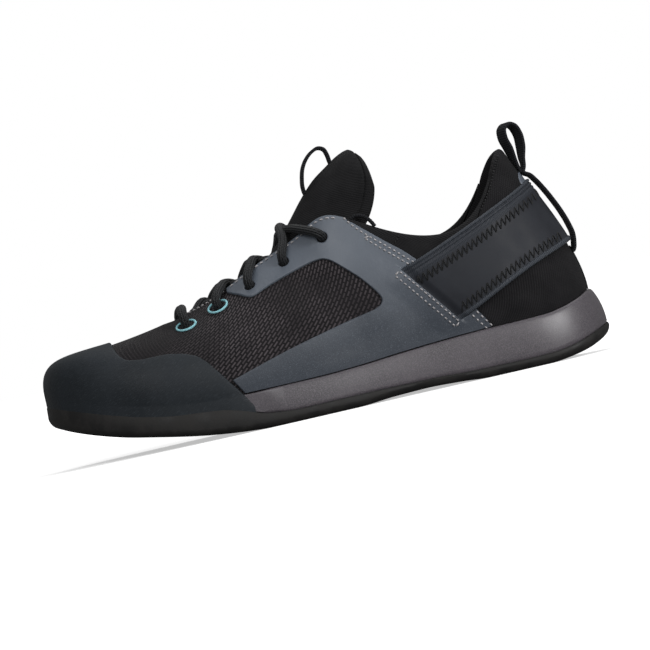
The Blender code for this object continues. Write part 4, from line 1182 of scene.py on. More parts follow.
def row_curve(rows, column):
    """Soft curve through one column of a table, over its row numbers."""
    values = np.array([row[column] for row in rows], float)
    slopes = np.gradient(values)

    def value(n):
        n = np.asarray(n, float)
        i = np.clip(np.floor(n).astype(int), 0, len(values) - 2)
        return bend_between(n - i, 1.0, values[i], values[i + 1], slopes[i], slopes[i + 1])

    return value


def tongue_front(n, u):
    """Front face of the tongue: n runs along its rows, u across it from -1 to 1."""
    n, u = np.broadcast_arrays(n, u)
    cx, cz, ex, ez, half, turn = [row_curve(TONGUE_ROWS, c)(n) for c in range(6)]
    full = np.radians(turn)
    drop = (1 - np.cos(full * u)) / (1 - np.cos(full))
    return stack(cx + (ex - cx) * drop, half * np.sin(full * u) / np.sin(full), cz + (ez - cz) * drop)


def tongue_normal(n, u):
    step = 0.02
    last = len(TONGUE_ROWS) - 1.0
    down = tongue_front(np.minimum(n + step, last), u) - tongue_front(np.maximum(n - step, 0.0), u)
    across = tongue_front(n, np.minimum(u + step, 1.0)) - tongue_front(n, np.maximum(u - step, -1.0))
    normal = np.cross(down, across)
    return normal / np.linalg.norm(normal, axis=-1, keepdims=True)


# Seam that binds the tongue's sides: distance from the edge, half width, depth, and the
# rows between which it fades in
TONGUE_SEAM = 6.0
TONGUE_SEAM_HALF = 0.55
TONGUE_SEAM_DEPTH = 0.8
TONGUE_SEAM_START = (4.0, 5.0)
# Where the tongue grows from thin to thick: x
TONGUE_THICKENS = (-30.0, 5.0)
# Rounds of its sides, as a share of its half width, and of its top edge
TONGUE_SIDE_ROUND = 0.09
TONGUE_TOP_ROUND = 2.4
# Distance between its upper rows, and the share of the last row with a finer mesh
TONGUE_ROW_PITCH = 7.0
TONGUE_TOP_ROWS = 0.3


def build_tongue():
    """Padded tongue that wraps the front of the ankle, with the seam of its top binding."""
    last = len(TONGUE_ROWS) - 1.0
    body = last - TONGUE_TOP_ROWS
    top = last - TONGUE_TOP_ROWS * (1 - np.linspace(0, 1, 14)[1:])
    n = np.concatenate([np.linspace(0.0, body, 150), top])
    u = np.linspace(-1.0, 1.0, 161)
    middle = len(u) // 2
    n, u = np.meshgrid(n, u, indexing="ij")
    front = tongue_front(n, u)
    normal = tongue_normal(n, u)
    share = ease(front[:, middle:middle + 1, 0], *TONGUE_THICKENS)
    thick = TONGUE_LOW_THICKNESS + (TONGUE_HIGH_THICKNESS - TONGUE_LOW_THICKNESS) * share
    fullness = np.minimum(rounded(1 - np.abs(u), TONGUE_SIDE_ROUND),
                          rounded((last - n) * TONGUE_ROW_PITCH, TONGUE_TOP_ROUND))
    steps = np.linalg.norm(np.diff(front, axis=1), axis=2)
    across = np.concatenate([np.zeros((len(n), 1)), np.cumsum(steps, axis=1)], axis=1)
    from_edge = np.minimum(across, across[:, -1:] - across)
    seam = TONGUE_SEAM_DEPTH * np.exp(-((from_edge - TONGUE_SEAM) / TONGUE_SEAM_HALF) ** 2)
    seam = seam * ease(n, *TONGUE_SEAM_START)
    outer = front + normal * ((fullness - 1) * thick * 0.5 - seam)[..., None]
    back = front - normal * (thick * 0.5 + thick * 0.5 * fullness)[..., None]
    along = np.broadcast_to(lengths(front[:, middle])[:, None], across.shape)
    uv = np.stack([across - across[:, -1:] / 2, along], axis=-1)
    piece = sheet_piece("tongue_padded", "stretch_fabric", outer, back, uv, ("tongue",))
    return piece


def webbing_section(width, thickness):
    """Outline of a woven band: flat faces and round edges, as width, height rows."""
    flat, half = (width - thickness) / 2, thickness / 2
    turns = -math.pi / 2 + math.pi * np.arange(9) / 8
    end = [(flat + half * math.cos(turn), half * math.sin(turn)) for turn in turns]
    between = np.linspace(flat, -flat, 13)[1:-1]
    section = end + [(w, half) for w in between]
    section += [(-w, -h) for w, h in end] + [(-w, -half) for w in between]
    return np.array(section)


def webbing(name, path, width, thickness, replaced, turn):
    """Woven band across the shoe that follows a side view path of (x, z) points."""
    tangents = np.gradient(path, axis=0)
    tangents /= np.linalg.norm(tangents, axis=1, keepdims=True)
    section = webbing_section(width, thickness)
    y = np.broadcast_to(section[:, 0], (len(path), len(section)))
    x = path[:, 0:1] - tangents[:, 1:2] * section[:, 1]
    z = path[:, 1:2] + tangents[:, 0:1] * section[:, 1]
    angle = np.radians(turn * ease(path[:, 1:2], *LOOP_TURN_Z))
    foot_x = path[0, 0]
    ahead = x - foot_x
    points = stack(foot_x + ahead * np.cos(angle) - y * np.sin(angle),
                   ahead * np.sin(angle) + y * np.cos(angle), z)
    return finish_piece(name, "black_webbing", points.reshape(-1, 3),
                        closed_tube_faces(len(path), len(section)),
                        grid_uv(section[:, 0], lengths(path)), replaced)


def build_webbings():
    """Webbing down the middle of the heel, its finger loop, and the thin loop on the tongue."""
    for name, node, path, count, width, thickness, turn in BANDS:
        webbing(name, smooth_path(path, count), width, thickness, (node,), turn)


# Laces and thread rings

def lifted(s, t, lift):
    return skin(s, t) + skin_normal(s, t) * lift


def throat_edge(x, side, lift):
    """Point at x on the throat's edge, lifted off the upper."""
    reach = np.linspace(0.0, 0.32, 161)
    s = on_side(side, reach)
    return lifted(float(np.interp(x, skin(s, 1.0)[:, 0], s)), 1.0, lift)


# Lifts of a strand at its eyelet: its end inside, in the hole, and over the hole
LACE_END_LIFTS = (-4.0, 0.2, 2.6)
LACE_INNER_END_LIFT = -3.6
LACE_BEND_RISE = 0.6


def lace_end(side, pair, outside, edge_x):
    """Points of a strand from inside its eyelet to where it passes the throat's edge."""
    s, t = find_skin(*EYELETS[pair], side)
    if outside:
        inside, hole, over = (lifted(s, t, lift) for lift in LACE_END_LIFTS)
        return [inside, hole, over + np.array([0, 0, LACE_BEND_RISE]), throat_edge(edge_x, side, LACE_LIFT)]
    inset = np.array([0.0, side * LACE_INSET, LACE_DROP])
    return [lifted(s, t, LACE_INNER_END_LIFT), throat_edge(edge_x, side, 0.0) - inset]


BRAID_STEP = 0.7
BRAID_SIDES = 14
# The braid's own ridges stand this far outside the plain bar
BRAID_SWELL = 0.25


def braid(path):
    """Points, faces and coordinates of the lace's round cord along a path."""
    path = even_path(path, BRAID_STEP)
    radius = LACE_RADIUS + BRAID_SWELL
    ring = tube_points(path, radius, radius, BRAID_SIDES)
    around = np.arange(BRAID_SIDES) / BRAID_SIDES * 2 * math.pi * radius
    faces = closed_tube_faces(len(path), BRAID_SIDES)
    return ring.reshape(-1, 3), faces, grid_uv(around, lengths(path))


def join_rows(rows):
    """Several rows as one set of points, faces and coordinates."""
    points, faces, uvs, base = [], [], [], 0
    for row, made, uv in rows:
        points.append(row)
        uvs.append(uv)
        faces += [tuple(base + v for v in face) for face in made]
        base += len(row)
    return np.concatenate(points), faces, np.concatenate(uvs)


def lace_path(row, side, lift=0.0):
    """Points of one strand; side is where its first end lies."""
    pair, outside, edge_x, x, z, last_outside, last_edge_x, last_pair = row
    path = lace_end(side, pair, outside, edge_x) + [np.array([x, 0.0, z + lift])]
    return path + lace_end(-side, last_pair, last_outside, last_edge_x)[::-1]


# Where two strands cross, the upper one first: side of its first end, lift of its middle
CROSSING_LIFTS = ((-1, 1.5), (1, -1.4))


def build_laces():
    """Bar at the lowest eyelets and the crossings above it."""
    for index, row in enumerate(LACE_ROWS):
        node = f"lace_crossing_{index}" if index else "lace_bar"
        strands = CROSSING_LIFTS if index else ((-1, 0.0),)
        cords = join_rows([braid(lace_path(row, side, lift)) for side, lift in strands])
        finish_piece(f"{node}_cord", "lace_cord", *cords, (node,), angle=60)


# The lowest ring lies on the knit, the other on the overlay
RING_LIFTS = (0.4, QUARTER_THICKNESS + 0.1)
RING_TURNS = 64
RING_SIDES = 10


def build_rings():
    """Thread rings sewn round the lowest eyelets."""
    angle = 2 * math.pi * np.arange(RING_TURNS) / RING_TURNS
    bend = 2 * math.pi * np.arange(RING_SIDES) / RING_SIDES
    reach = RING_RADIUS + RING_THREAD * np.cos(bend)
    uv = grid_uv(bend, angle * RING_RADIUS)[:, ::-1]
    faces = grid_faces(RING_TURNS, RING_SIDES, wrap_rows=True, wrap_columns=True)
    for index, ((x, z), lift) in enumerate(zip(EYELETS, RING_LIFTS), 1):
        for side, word in SIDES:
            s, t = find_skin(x, z, side)
            normal = skin_normal(s, t)
            along = np.cross(normal, (0.0, 1.0, 0.0))
            along /= np.linalg.norm(along)
            up = np.cross(normal, along)
            spoke = np.cos(angle)[:, None] * along + np.sin(angle)[:, None] * up
            points = spoke[:, None, :] * reach[None, :, None] + lifted(s, t, lift)
            points = points + normal * (RING_THREAD * np.sin(bend))[None, :, None]
            finish_piece(f"eyelet_thread_{index}_{word}", "ring_thread", points.reshape(-1, 3), faces,
                         uv, (f"eyelet_ring_{index}_{word}",))


# Seams

SEAM_RADIUS = 0.4
STITCH_SIDES = 6
STITCH_ROWS = 6
# A stitch's height at its middle and how far its ends dip, as shares of its radius, and how
# much its ends taper
STITCH_HEIGHT = 0.75
STITCH_DIP = 0.7
STITCH_TAPER = 0.55
# Lifts of the seams that lie on the bare upper
KNIT_LIFT = 0.1
COLLAR_LIFT = 0.05


def seam_run(path, side, over):
    """Points and normals along a line drawn on the side view, at a height over the upper."""
    path = even_path(np.array(path, float), 1.0)
    s, t = np.array([find_skin(x, z, side) for x, z in path]).T
    lift = over(path[:, 0], path[:, 1]) if callable(over) else np.full(len(path), over)
    return place(s, t, lift), skin_normal(s, t)


def stitch_row(run, pitch, share, radius=SEAM_RADIUS, sag=0.16):
    """Points, faces and coordinates of a row of stitches that dip at both ends."""
    line, normals = run
    along = lengths(line)
    count = max(int(along[-1] / pitch), 1)
    shape = np.linspace(-1.0, 1.0, STITCH_ROWS)
    high = radius * STITCH_HEIGHT - (radius * STITCH_DIP + sag) * np.abs(shape) ** 3
    width = radius * (1 - STITCH_TAPER * np.abs(shape) ** 4)
    turn = 2 * math.pi * np.arange(STITCH_SIDES) / STITCH_SIDES
    faces = closed_tube_faces(STITCH_ROWS, STITCH_SIDES)
    stitches = []
    for k in range(count):
        reach = along[-1] * (k + 0.5) / count + shape * pitch * share / 2
        centre = read_line(reach, along, line)
        normal = read_line(reach, along, normals)
        ahead = centre[-1] - centre[0]
        ahead /= np.linalg.norm(ahead)
        across = np.cross(normal, ahead)
        across /= np.linalg.norm(across, axis=1)[:, None]
        centre = centre + normal * high[:, None]
        ring = (centre[:, None, :] + across[:, None, :] * (width[:, None] * np.cos(turn))[..., None]
                + normal[:, None, :] * (width[:, None] * np.sin(turn))[..., None])
        stitches.append((ring.reshape(-1, 3), faces, grid_uv(turn * radius, reach)))
    return join_rows(stitches)


def seam_piece(name, slot, rows, paint=None):
    """One piece from all the stitches of some rows."""
    return finish_piece(name, slot, *join_rows(rows), angle=70, paint=paint)


def over_quarter(x, z):
    """Height of the overlay's outer face over the upper."""
    return QUARTER_THICKNESS + slit_raise(x, z)


# Lines of stitches on the overlay and the knit, seen from the side: x, z
PEAK_STITCHES = [(20.7, 94.3), (24.0, 89.4), (31.0, 82.0), (36.0, 77.6), (50.6, 64.0)]
REAR_ROW_INNER = [(28.6, 81.6), (34.4, 76.0), (40.3, 70.6), (49.6, 62.0)]
SLIT_ROW_OUTER = [(41.4, 61.6), (48.3, 52.8), (56.0, 42.9), (65.6, 30.6)]
SLIT_ROW_INNER = [(38.8, 59.8), (46.0, 50.6), (53.8, 40.6), (63.2, 28.6)]
LOW_ROW_OUTER = [(75.0, 34.4), (82.0, 24.6)]
LOW_ROW_INNER = [(72.6, 33.0), (79.6, 23.0)]
KNIT_ROW = [(-65.5, 65.5), (-60.5, 66.8), (-55.2, 68.2), (-44.0, 71.6)]
# Short stitches that join two rows at their ends
ROW_ENDS = [
    [SLIT_ROW_OUTER[0], SLIT_ROW_INNER[0]],
    [SLIT_ROW_OUTER[-1], SLIT_ROW_INNER[-1]],
    [PEAK_STITCHES[2], REAR_ROW_INNER[0]],
]
# Rows of the overlay: line, pitch of the stitches, share of the pitch that one fills
OVERLAY_ROWS = [
    (PEAK_STITCHES, 2.6, 0.62),
    (REAR_ROW_INNER, 2.5, 0.66),
    (SLIT_ROW_OUTER, 2.55, 0.7),
    (SLIT_ROW_INNER, 2.55, 0.62),
    (LOW_ROW_OUTER, 2.5, 0.66),
    (LOW_ROW_INNER, 2.5, 0.62),
    *((line, 3.0, 0.8) for line in ROW_ENDS),
]
# Row along the throat: inset from its edge, range of x, pitch, share
THROAT_ROW_INSET = 1.5
THROAT_ROW_X = (-41.5, 17.5)
THROAT_ROW_PITCH = 3.05
THROAT_ROW_SHARE = 0.66
KNIT_ROW_PITCH = 2.5
KNIT_ROW_SHARE = 0.66


def throat_run(side):
    """Line of stitches beside the overlay's throat edge."""
    s = on_side(side, np.linspace(0.0, 0.42, 801))
    x = skin(s, 1.0)[:, 0]
    s = s[(x > THROAT_ROW_X[0]) & (x < THROAT_ROW_X[1])]
    t = 1 - THROAT_ROW_INSET / height_at(s)
    return place(s, t, over_quarter(*side_view(s, t))), skin_normal(s, t)


def build_seams(side, word):
    """Pale stitches of one side of the shoe."""
    rows = [stitch_row(throat_run(side), THROAT_ROW_PITCH, THROAT_ROW_SHARE)]
    rows += [stitch_row(seam_run(line, side, over_quarter), pitch, share)
             for line, pitch, share in OVERLAY_ROWS]
    seam_piece(f"overlay_stitches_{word}", "seam_thread", rows)
    knit = stitch_row(seam_run(KNIT_ROW, side, KNIT_LIFT), KNIT_ROW_PITCH, KNIT_ROW_SHARE)
    seam_piece(f"knit_stitches_{word}", "seam_thread", [knit])


# Zigzags on the strap: width, length of one wave, gap to the binding, thread
ZIGZAG_WIDTH = 4.7
ZIGZAG_PITCH = 2.8
ZIGZAG_GAP = 0.3
ZIGZAG_RADIUS = 0.33
ZIGZAG_LIFT = 0.1
# Ranges of x of the rows beside the upper and the lower binding
UPPER_ZIGZAG = (47.5, 124.0)
LOWER_ZIGZAG = (68.0, 128.0)


def zigzag_corners(low_x, high_x, upper):
    """Corners of a zigzag beside one binding of the strap, as x, z rows."""
    count = math.ceil((high_x - low_x) / (ZIGZAG_PITCH / 2))
    x = low_x + ZIGZAG_PITCH / 2 * np.arange(count)
    away = (UPPER_BINDING if upper else LOWER_BINDING) + ZIGZAG_GAP
    away = (away + ZIGZAG_WIDTH * (np.arange(count) % 2)) / STRAP_COSINE
    return x, strap_upper(x) - away if upper else strap_lower(x) + away


def build_zigzags():
    """Black zigzag rows along both bindings of the strap."""
    for side, word in SIDES:
        rows = []
        for upper, (low_x, high_x) in ((True, UPPER_ZIGZAG), (False, LOWER_ZIGZAG)):
            x, z = zigzag_corners(low_x, high_x, upper)
            s, t = np.array([find_skin(*corner, side) for corner in zip(x, z)]).T
            points = place(s, t, strap_faces(x, z)[1] + ZIGZAG_LIFT)
            normals = skin_normal(s, t)
            for k in range(len(points) - 1):
                run = [np.linspace(ends[k], ends[k + 1], 4) for ends in (points, normals)]
                length = float(np.linalg.norm(points[k + 1] - points[k]))
                rows.append(stitch_row(run, length * 0.99, 0.98, ZIGZAG_RADIUS, 0.02))
        seam_piece(f"strap_zigzag_{word}", "strap_fabric", rows, "dark_thread")


# Trims

# Dark rows on the collar, seen from the side: x, z
HEEL_STITCHES = [(104.9, 109.6), (102.9, 104.6), (99.6, 97.4), (95.3, 90.4), (89.2, 82.8)]
COLLAR_STITCHES = [(46.2, 79.4), (44.4, 77.7), (42.6, 76.1)]
# Rows: line, lift, pitch, share of the pitch that a stitch fills, radius
COLLAR_ROWS = [
    (HEEL_STITCHES, KNIT_LIFT, 1.7, 0.8, 0.36),
    (COLLAR_STITCHES, COLLAR_LIFT, 1.5, 0.8, 0.3),
]
# Ribbed end of the collar's elastic beside the tongue: x, z
ELASTIC_PATH = [(22.6, 90.0), (24.4, 92.6), (27.4, 93.8), (30.8, 92.8), (33.4, 90.2), (35.4, 86.6)]
ELASTIC_HALF_WIDTH = 1.5
ELASTIC_HALF_HEIGHT = 1.0
ELASTIC_STEP = 0.5
ELASTIC_SIDES = 14
# How far it stands outside the top edge, and its ribs: height, turn for each step
ELASTIC_OUT = 1.6
ELASTIC_RIB = 0.1
ELASTIC_RIB_TURN = 2.4
# Slate tab under the heel loop: its outline seen from the side
TAB_OUTLINE = [(134.0, 99.5), (117.0, 99.2), (115.0, 97.4), (114.2, 94.8), (114.6, 92.0), (116.4, 89.4),
               (134.0, 89.0)]
TAB_PATH = soft_outline([(x, z, 1) for x, z in TAB_OUTLINE])
TAB_THICKNESS = 0.5
# Piping down the middle of the heel, below the webbing: range of z, half width and height
PIPING_Z = (31.0, 56.0)
PIPING_HALF_WIDTH = 0.9
PIPING_HALF_HEIGHT = 0.6
PIPING_LIFT = 0.35
PIPING_STEP = 0.8
PIPING_SIDES = 10


def trim_cord(name, line, step, across, upward, around, hint=(0, 0, 1)):
    """Thin cord along a line of even steps; around has its points' own coordinates."""
    points = tube_points(line, across, upward, len(around), hint)
    return finish_piece(name, "black_webbing", points.reshape(-1, 3),
                        closed_tube_faces(len(line), len(around)),
                        grid_uv(around, np.arange(len(line)) * step), angle=60)


def build_collar_trims(side, word):
    """Dark stitches on the collar and the elastic's end on one side."""
    rows = [stitch_row(seam_run(line, side, lift), pitch, share, radius)
            for line, lift, pitch, share, radius in COLLAR_ROWS]
    seam_piece(f"collar_stitches_{word}", "stretch_fabric", rows, "dark_thread")
    path = even_path(np.array(ELASTIC_PATH), ELASTIC_STEP)
    rim = skin(on_side(side, np.linspace(0.02, 0.42, 401)), 1.0)
    y = np.interp(path[:, 0], rim[:, 0], rim[:, 1]) - side * ELASTIC_OUT
    ridge = 1 + ELASTIC_RIB * np.cos(np.arange(len(path)) * ELASTIC_RIB_TURN)
    trim_cord(f"elastic_end_{word}", stack(path[:, 0], y, path[:, 1]), ELASTIC_STEP,
              ELASTIC_HALF_WIDTH * ridge, ELASTIC_HALF_HEIGHT * ridge, np.arange(ELASTIC_SIDES) * 0.6)


def build_heel_trims():
    """Slate tab under the heel loop and the piping of the heel's back seam."""
    def field(s, t):
        return outline_depth(*side_view(s, t), TAB_PATH)

    def offsets(s, t, depth):
        return 0.02 + 0 * depth, 0.1 + TAB_THICKNESS * rounded(depth, 0.4)

    patch("heel_tab", "slate_film", (0.42, 0.58), (0.5, 1.0), (120, 60), field, offsets, (0.12, 0.4))
    count = 90
    line = lifted(np.full(count, 0.5), np.linspace(0.0, 0.7, count), PIPING_LIFT)
    line = even_path(line[(line[:, 2] > PIPING_Z[0]) & (line[:, 2] < PIPING_Z[1])], PIPING_STEP)
    trim_cord("heel_back_seam", line, PIPING_STEP, PIPING_HALF_WIDTH, PIPING_HALF_HEIGHT,
              np.arange(PIPING_SIDES) * 0.5, (1, 0, 0))


# Materials

def add(tree, kind, inputs=None, **settings):
    """Node with its settings and with its inputs set or linked."""
    made = tree.nodes.new(kind)
    for key, value in settings.items():
        setattr(made, key, value)
    for key, value in (inputs or {}).items():
        if isinstance(value, bpy.types.NodeSocket):
            tree.links.new(value, made.inputs[key])
        else:
            made.inputs[key].default_value = value
    return made


def calc(tree, operation, first, second=0.0, third=0.0):
    return add(tree, "ShaderNodeMath", {0: first, 1: second, 2: third}, operation=operation).outputs[0]


def blend_colours(tree, share, low, high):
    mix = add(tree, "ShaderNodeMix", {"Factor": share}, data_type="RGBA")
    for socket, value in zip((mix.inputs[6], mix.inputs[7]), (low, high)):
        if isinstance(value, bpy.types.NodeSocket):
            tree.links.new(value, socket)
        else:
            socket.default_value = (*value, 1.0)
    return mix.outputs[2]


def spread(tree, value, low, high, to_low=0.0, to_high=1.0):
    """Soft remap of a value from one range to another."""
    remap = add(tree, "ShaderNodeMapRange",
                {"Value": value, "From Min": low, "From Max": high, "To Min": to_low, "To Max": to_high},
                interpolation_type="SMOOTHSTEP")
    return remap.outputs[0]


def surface(tree, turn=0.0, scale=(1.0, 1.0, 1.0)):
    """The piece's own coordinates in millimetres, turned and scaled."""
    uv = add(tree, "ShaderNodeUVMap", uv_map="surface").outputs[0]
    turned = add(tree, "ShaderNodeVectorRotate", {"Vector": uv, "Angle": math.radians(turn)},
                 rotation_type="Z_AXIS").outputs[0]
    return add(tree, "ShaderNodeVectorMath", {0: turned, 1: scale}, operation="MULTIPLY").outputs[0]


def solid_place(tree, scale=1.0):
    """Place in the shoe's frame, in millimetres times the scale."""
    coordinates = add(tree, "ShaderNodeTexCoord").outputs["Object"]
    return add(tree, "ShaderNodeVectorMath", {0: coordinates, 1: (1000 * scale,) * 3},
               operation="MULTIPLY").outputs[0]


def noise(tree, vector, size, detail=3.0, roughness=0.55):
    """Noise whose grains have about the given size."""
    return add(tree, "ShaderNodeTexNoise",
               {"Vector": vector, "Scale": 1.0 / size, "Detail": detail, "Roughness": roughness}).outputs[0]


# Scale of the wave texture whose stripes are one unit apart
WAVE_SCALE = 0.314159


def waves(tree, vector, pitch, axis="X", distortion=0.0):
    """Even stripes of the given pitch, across an axis, from 0 to 1."""
    return add(tree, "ShaderNodeTexWave",
               {"Vector": vector, "Scale": WAVE_SCALE / pitch, "Distortion": distortion,
                "Detail": 1.0},
               wave_type="BANDS", bands_direction=axis, wave_profile="SIN").outputs[1]


def weigh(tree, first, first_share, second, second_share):
    """Sum of two values, each times its share."""
    return calc(tree, "ADD", calc(tree, "MULTIPLY", first, first_share),
                calc(tree, "MULTIPLY", second, second_share))


def bump(tree, height, depth, strength=1.0, under=None):
    """Normal from a height from 0 to 1 and its depth in millimetres."""
    inputs = {"Height": height, "Distance": depth * MM, "Strength": strength}
    if under is not None:
        inputs["Normal"] = under
    return add(tree, "ShaderNodeBump", inputs).outputs[0]


def paint_base(name, roughness, specular=0.4, sheen=0.0, coat=0.0, coat_roughness=0.3):
    """Material with its constant settings. Returns it, its tree and its shader's inputs."""
    paint = bpy.data.materials.new(name)
    paint.use_nodes = True
    tree = paint.node_tree
    sockets = tree.nodes["Principled BSDF"].inputs
    sockets["Roughness"].default_value = roughness
    sockets["Specular IOR Level"].default_value = specular
    sockets["Sheen Weight"].default_value = sheen
    sockets["Sheen Roughness"].default_value = 0.4
    sockets["Coat Weight"].default_value = coat
    sockets["Coat Roughness"].default_value = coat_roughness
    return paint, tree, sockets


def wire(tree, sockets, **values):
    names = {"colour": "Base Color", "roughness": "Roughness", "normal": "Normal"}
    for key, value in values.items():
        tree.links.new(value, sockets[names[key]])


def outsole_paint():
    """Black rubber, faintly warm on its side, with fine scuffs."""
    paint, tree, sockets = paint_base("outsole_rubber", 0.6, 0.35)
    spot = solid_place(tree)
    cloud = noise(tree, spot, 9.0, 4.0)
    grain = noise(tree, spot, 0.7, 2.0)
    colour = blend_colours(tree, spread(tree, cloud, 0.35, 0.7), (0.0085, 0.0082, 0.0082),
                           (0.019, 0.0178, 0.017))
    wire(tree, sockets, colour=colour, roughness=spread(tree, cloud, 0.3, 0.7, 0.5, 0.72),
         normal=bump(tree, grain, 0.12, 0.6))
    return paint


def foam_paint():
    """Grey moulded foam with a fine speckle and a slight skin gloss."""
    paint, tree, sockets = paint_base("midsole_foam", 0.42, 0.45, coat=0.3, coat_roughness=0.3)
    spot = solid_place(tree)
    cloud = noise(tree, spot, 26.0, 3.0)
    speck = noise(tree, spot, 0.55, 2.0, 0.7)
    base = blend_colours(tree, spread(tree, cloud, 0.3, 0.7), (0.06, 0.054, 0.062), (0.086, 0.077, 0.088))
    colour = blend_colours(tree, spread(tree, speck, 0.42, 0.66), base, (0.125, 0.113, 0.125))
    wire(tree, sockets, colour=colour, roughness=spread(tree, speck, 0.3, 0.7, 0.36, 0.52),
         normal=bump(tree, speck, 0.1, 0.5, bump(tree, noise(tree, spot, 5.0), 0.25, 0.5)))
    return paint


def rand_paint():
    """Matte blue-black rubber with a very fine slanted brushing and faint scuffs."""
    paint, tree, sockets = paint_base("rand_rubber", 0.58, 0.34)
    brushed = surface(tree, -38.0, (0.12, 1.0, 1.0))
    strokes = noise(tree, brushed, 0.35, 3.0, 0.6)
    spot = solid_place(tree)
    cloud = noise(tree, spot, 18.0, 4.0)
    base = blend_colours(tree, spread(tree, cloud, 0.3, 0.72), (0.0085, 0.0122, 0.0162),
                         (0.0142, 0.019, 0.0245))
    colour = blend_colours(tree, spread(tree, strokes, 0.52, 0.78), base, (0.034, 0.042, 0.05))
    wire(tree, sockets, colour=colour, roughness=spread(tree, cloud, 0.3, 0.7, 0.5, 0.66),
         normal=bump(tree, strokes, 0.14, 0.8, bump(tree, noise(tree, spot, 12.0, 2.0), 0.5, 0.5)))
    return paint


# Slant of the knit's dashes in degrees, the pitch of the dashes along and across it, and
# the gap between them
KNIT_TURN = 47.0
KNIT_DASH = (4.3, 1.75)
KNIT_GROUND = 0.56
# Distances round the shoe from the toe between which the dots give way to the dashes
KNIT_FRONT = (64.0, 92.0)


def knit_paint():
    """Charcoal knit: slanted pale dashes, and a finer dotted hatch over the toes."""
    paint, tree, sockets = paint_base("knit_fabric", 0.85, 0.2, sheen=0.04)
    dashes = add(tree, "ShaderNodeTexBrick",
                 {"Vector": surface(tree, -KNIT_TURN), "Scale": 1.0, "Mortar Size": KNIT_GROUND,
                  "Mortar Smooth": 0.35, "Brick Width": KNIT_DASH[0], "Row Height": KNIT_DASH[1],
                  "Color1": (1, 1, 1, 1), "Color2": (0.62, 0.62, 0.62, 1),
                  "Mortar": (0, 0, 0, 1)}).outputs[0]
    dots = calc(tree, "MULTIPLY", waves(tree, surface(tree, -KNIT_TURN), 1.5, "X"),
                waves(tree, surface(tree, 28.0), 1.35, "X"))
    dots = spread(tree, dots, 0.3, 0.85)
    along = add(tree, "ShaderNodeSeparateXYZ", {0: surface(tree)}).outputs[0]
    front = spread(tree, calc(tree, "ABSOLUTE", along), *KNIT_FRONT)
    dots = calc(tree, "MULTIPLY", dots, 0.4)
    pattern = add(tree, "ShaderNodeMix", {"Factor": front, 2: dots, 3: dashes},
                  data_type="FLOAT").outputs[0]
    fine = waves(tree, surface(tree, 43.0), 0.7, "X", 1.5)
    spot = solid_place(tree)
    cloud = noise(tree, spot, 14.0)
    ground = blend_colours(tree, spread(tree, cloud, 0.3, 0.7), (0.0055, 0.005, 0.0058),
                           (0.0098, 0.0088, 0.0098))
    ground = blend_colours(tree, calc(tree, "MULTIPLY", fine, 0.4), ground, (0.019, 0.0168, 0.0188))
    worn = spread(tree, noise(tree, spot, 24.0, 3.0), 0.36, 0.66, 0.42, 1.0)
    colour = blend_colours(tree, calc(tree, "MULTIPLY", pattern, worn), ground, (0.086, 0.074, 0.08))
    height = calc(tree, "ADD", pattern, calc(tree, "MULTIPLY", fine, 0.3))
    wire(tree, sockets, colour=colour, normal=bump(tree, height, 0.3, 0.8))
    return paint


def twill_paint(name, low, high, turn, pitch, depth):
    """Fine slanted twill over padding."""
    paint, tree, sockets = paint_base(name, 0.88, 0.16, sheen=0.03)
    ribs = waves(tree, surface(tree, turn), pitch, "X", 0.6)
    cross = waves(tree, surface(tree, turn + 62.0), pitch * 0.8, "X", 0.6)
    weave = weigh(tree, ribs, 0.7, cross, 0.3)
    cloud = noise(tree, solid_place(tree), 11.0, 4.0)
    shade = weigh(tree, weave, 0.45, cloud, 0.6)
    wire(tree, sockets, colour=blend_colours(tree, spread(tree, shade, 0.2, 0.85), low, high),
         normal=bump(tree, weave, depth, 0.7))
    return paint


# Heights between which painted light makes the slate grow lighter, as if lit from above
SLATE_PAINTED_LIGHT_HEIGHTS = (20.0, 96.0)


def slate_paint():
    """Satin film over fabric: painted light makes it lighter towards the throat, higher up, with soft clouds
    and a fine grain.
    """
    paint, tree, sockets = paint_base("slate_film", 0.42, 0.42, coat=0.05, coat_roughness=0.4)
    spot = solid_place(tree)
    height = add(tree, "ShaderNodeSeparateXYZ", {0: spot}).outputs[2]
    # Painted light: the film's colour grows lighter with height, as if lit from above
    painted_top_light = spread(tree, height, *SLATE_PAINTED_LIGHT_HEIGHTS)
    cloud = noise(tree, spot, 22.0, 3.0)
    grain = noise(tree, spot, 0.45, 2.0, 0.7)
    # Mix of that painted light from above and random soft clouds
    shade = weigh(tree, painted_top_light, 0.75, cloud, 0.4)
    base = blend_colours(tree, spread(tree, shade, 0.15, 0.95), (0.044, 0.052, 0.066),
                         (0.11, 0.128, 0.156))
    colour = blend_colours(tree, spread(tree, grain, 0.5, 0.8), base, (0.12, 0.138, 0.165))
    wire(tree, sockets, colour=colour, roughness=spread(tree, cloud, 0.3, 0.7, 0.36, 0.5),
         normal=bump(tree, grain, 0.06, 0.5, bump(tree, noise(tree, spot, 4.5, 2.0), 0.3, 0.5)))
    return paint


BINDING_BLUR = 0.3


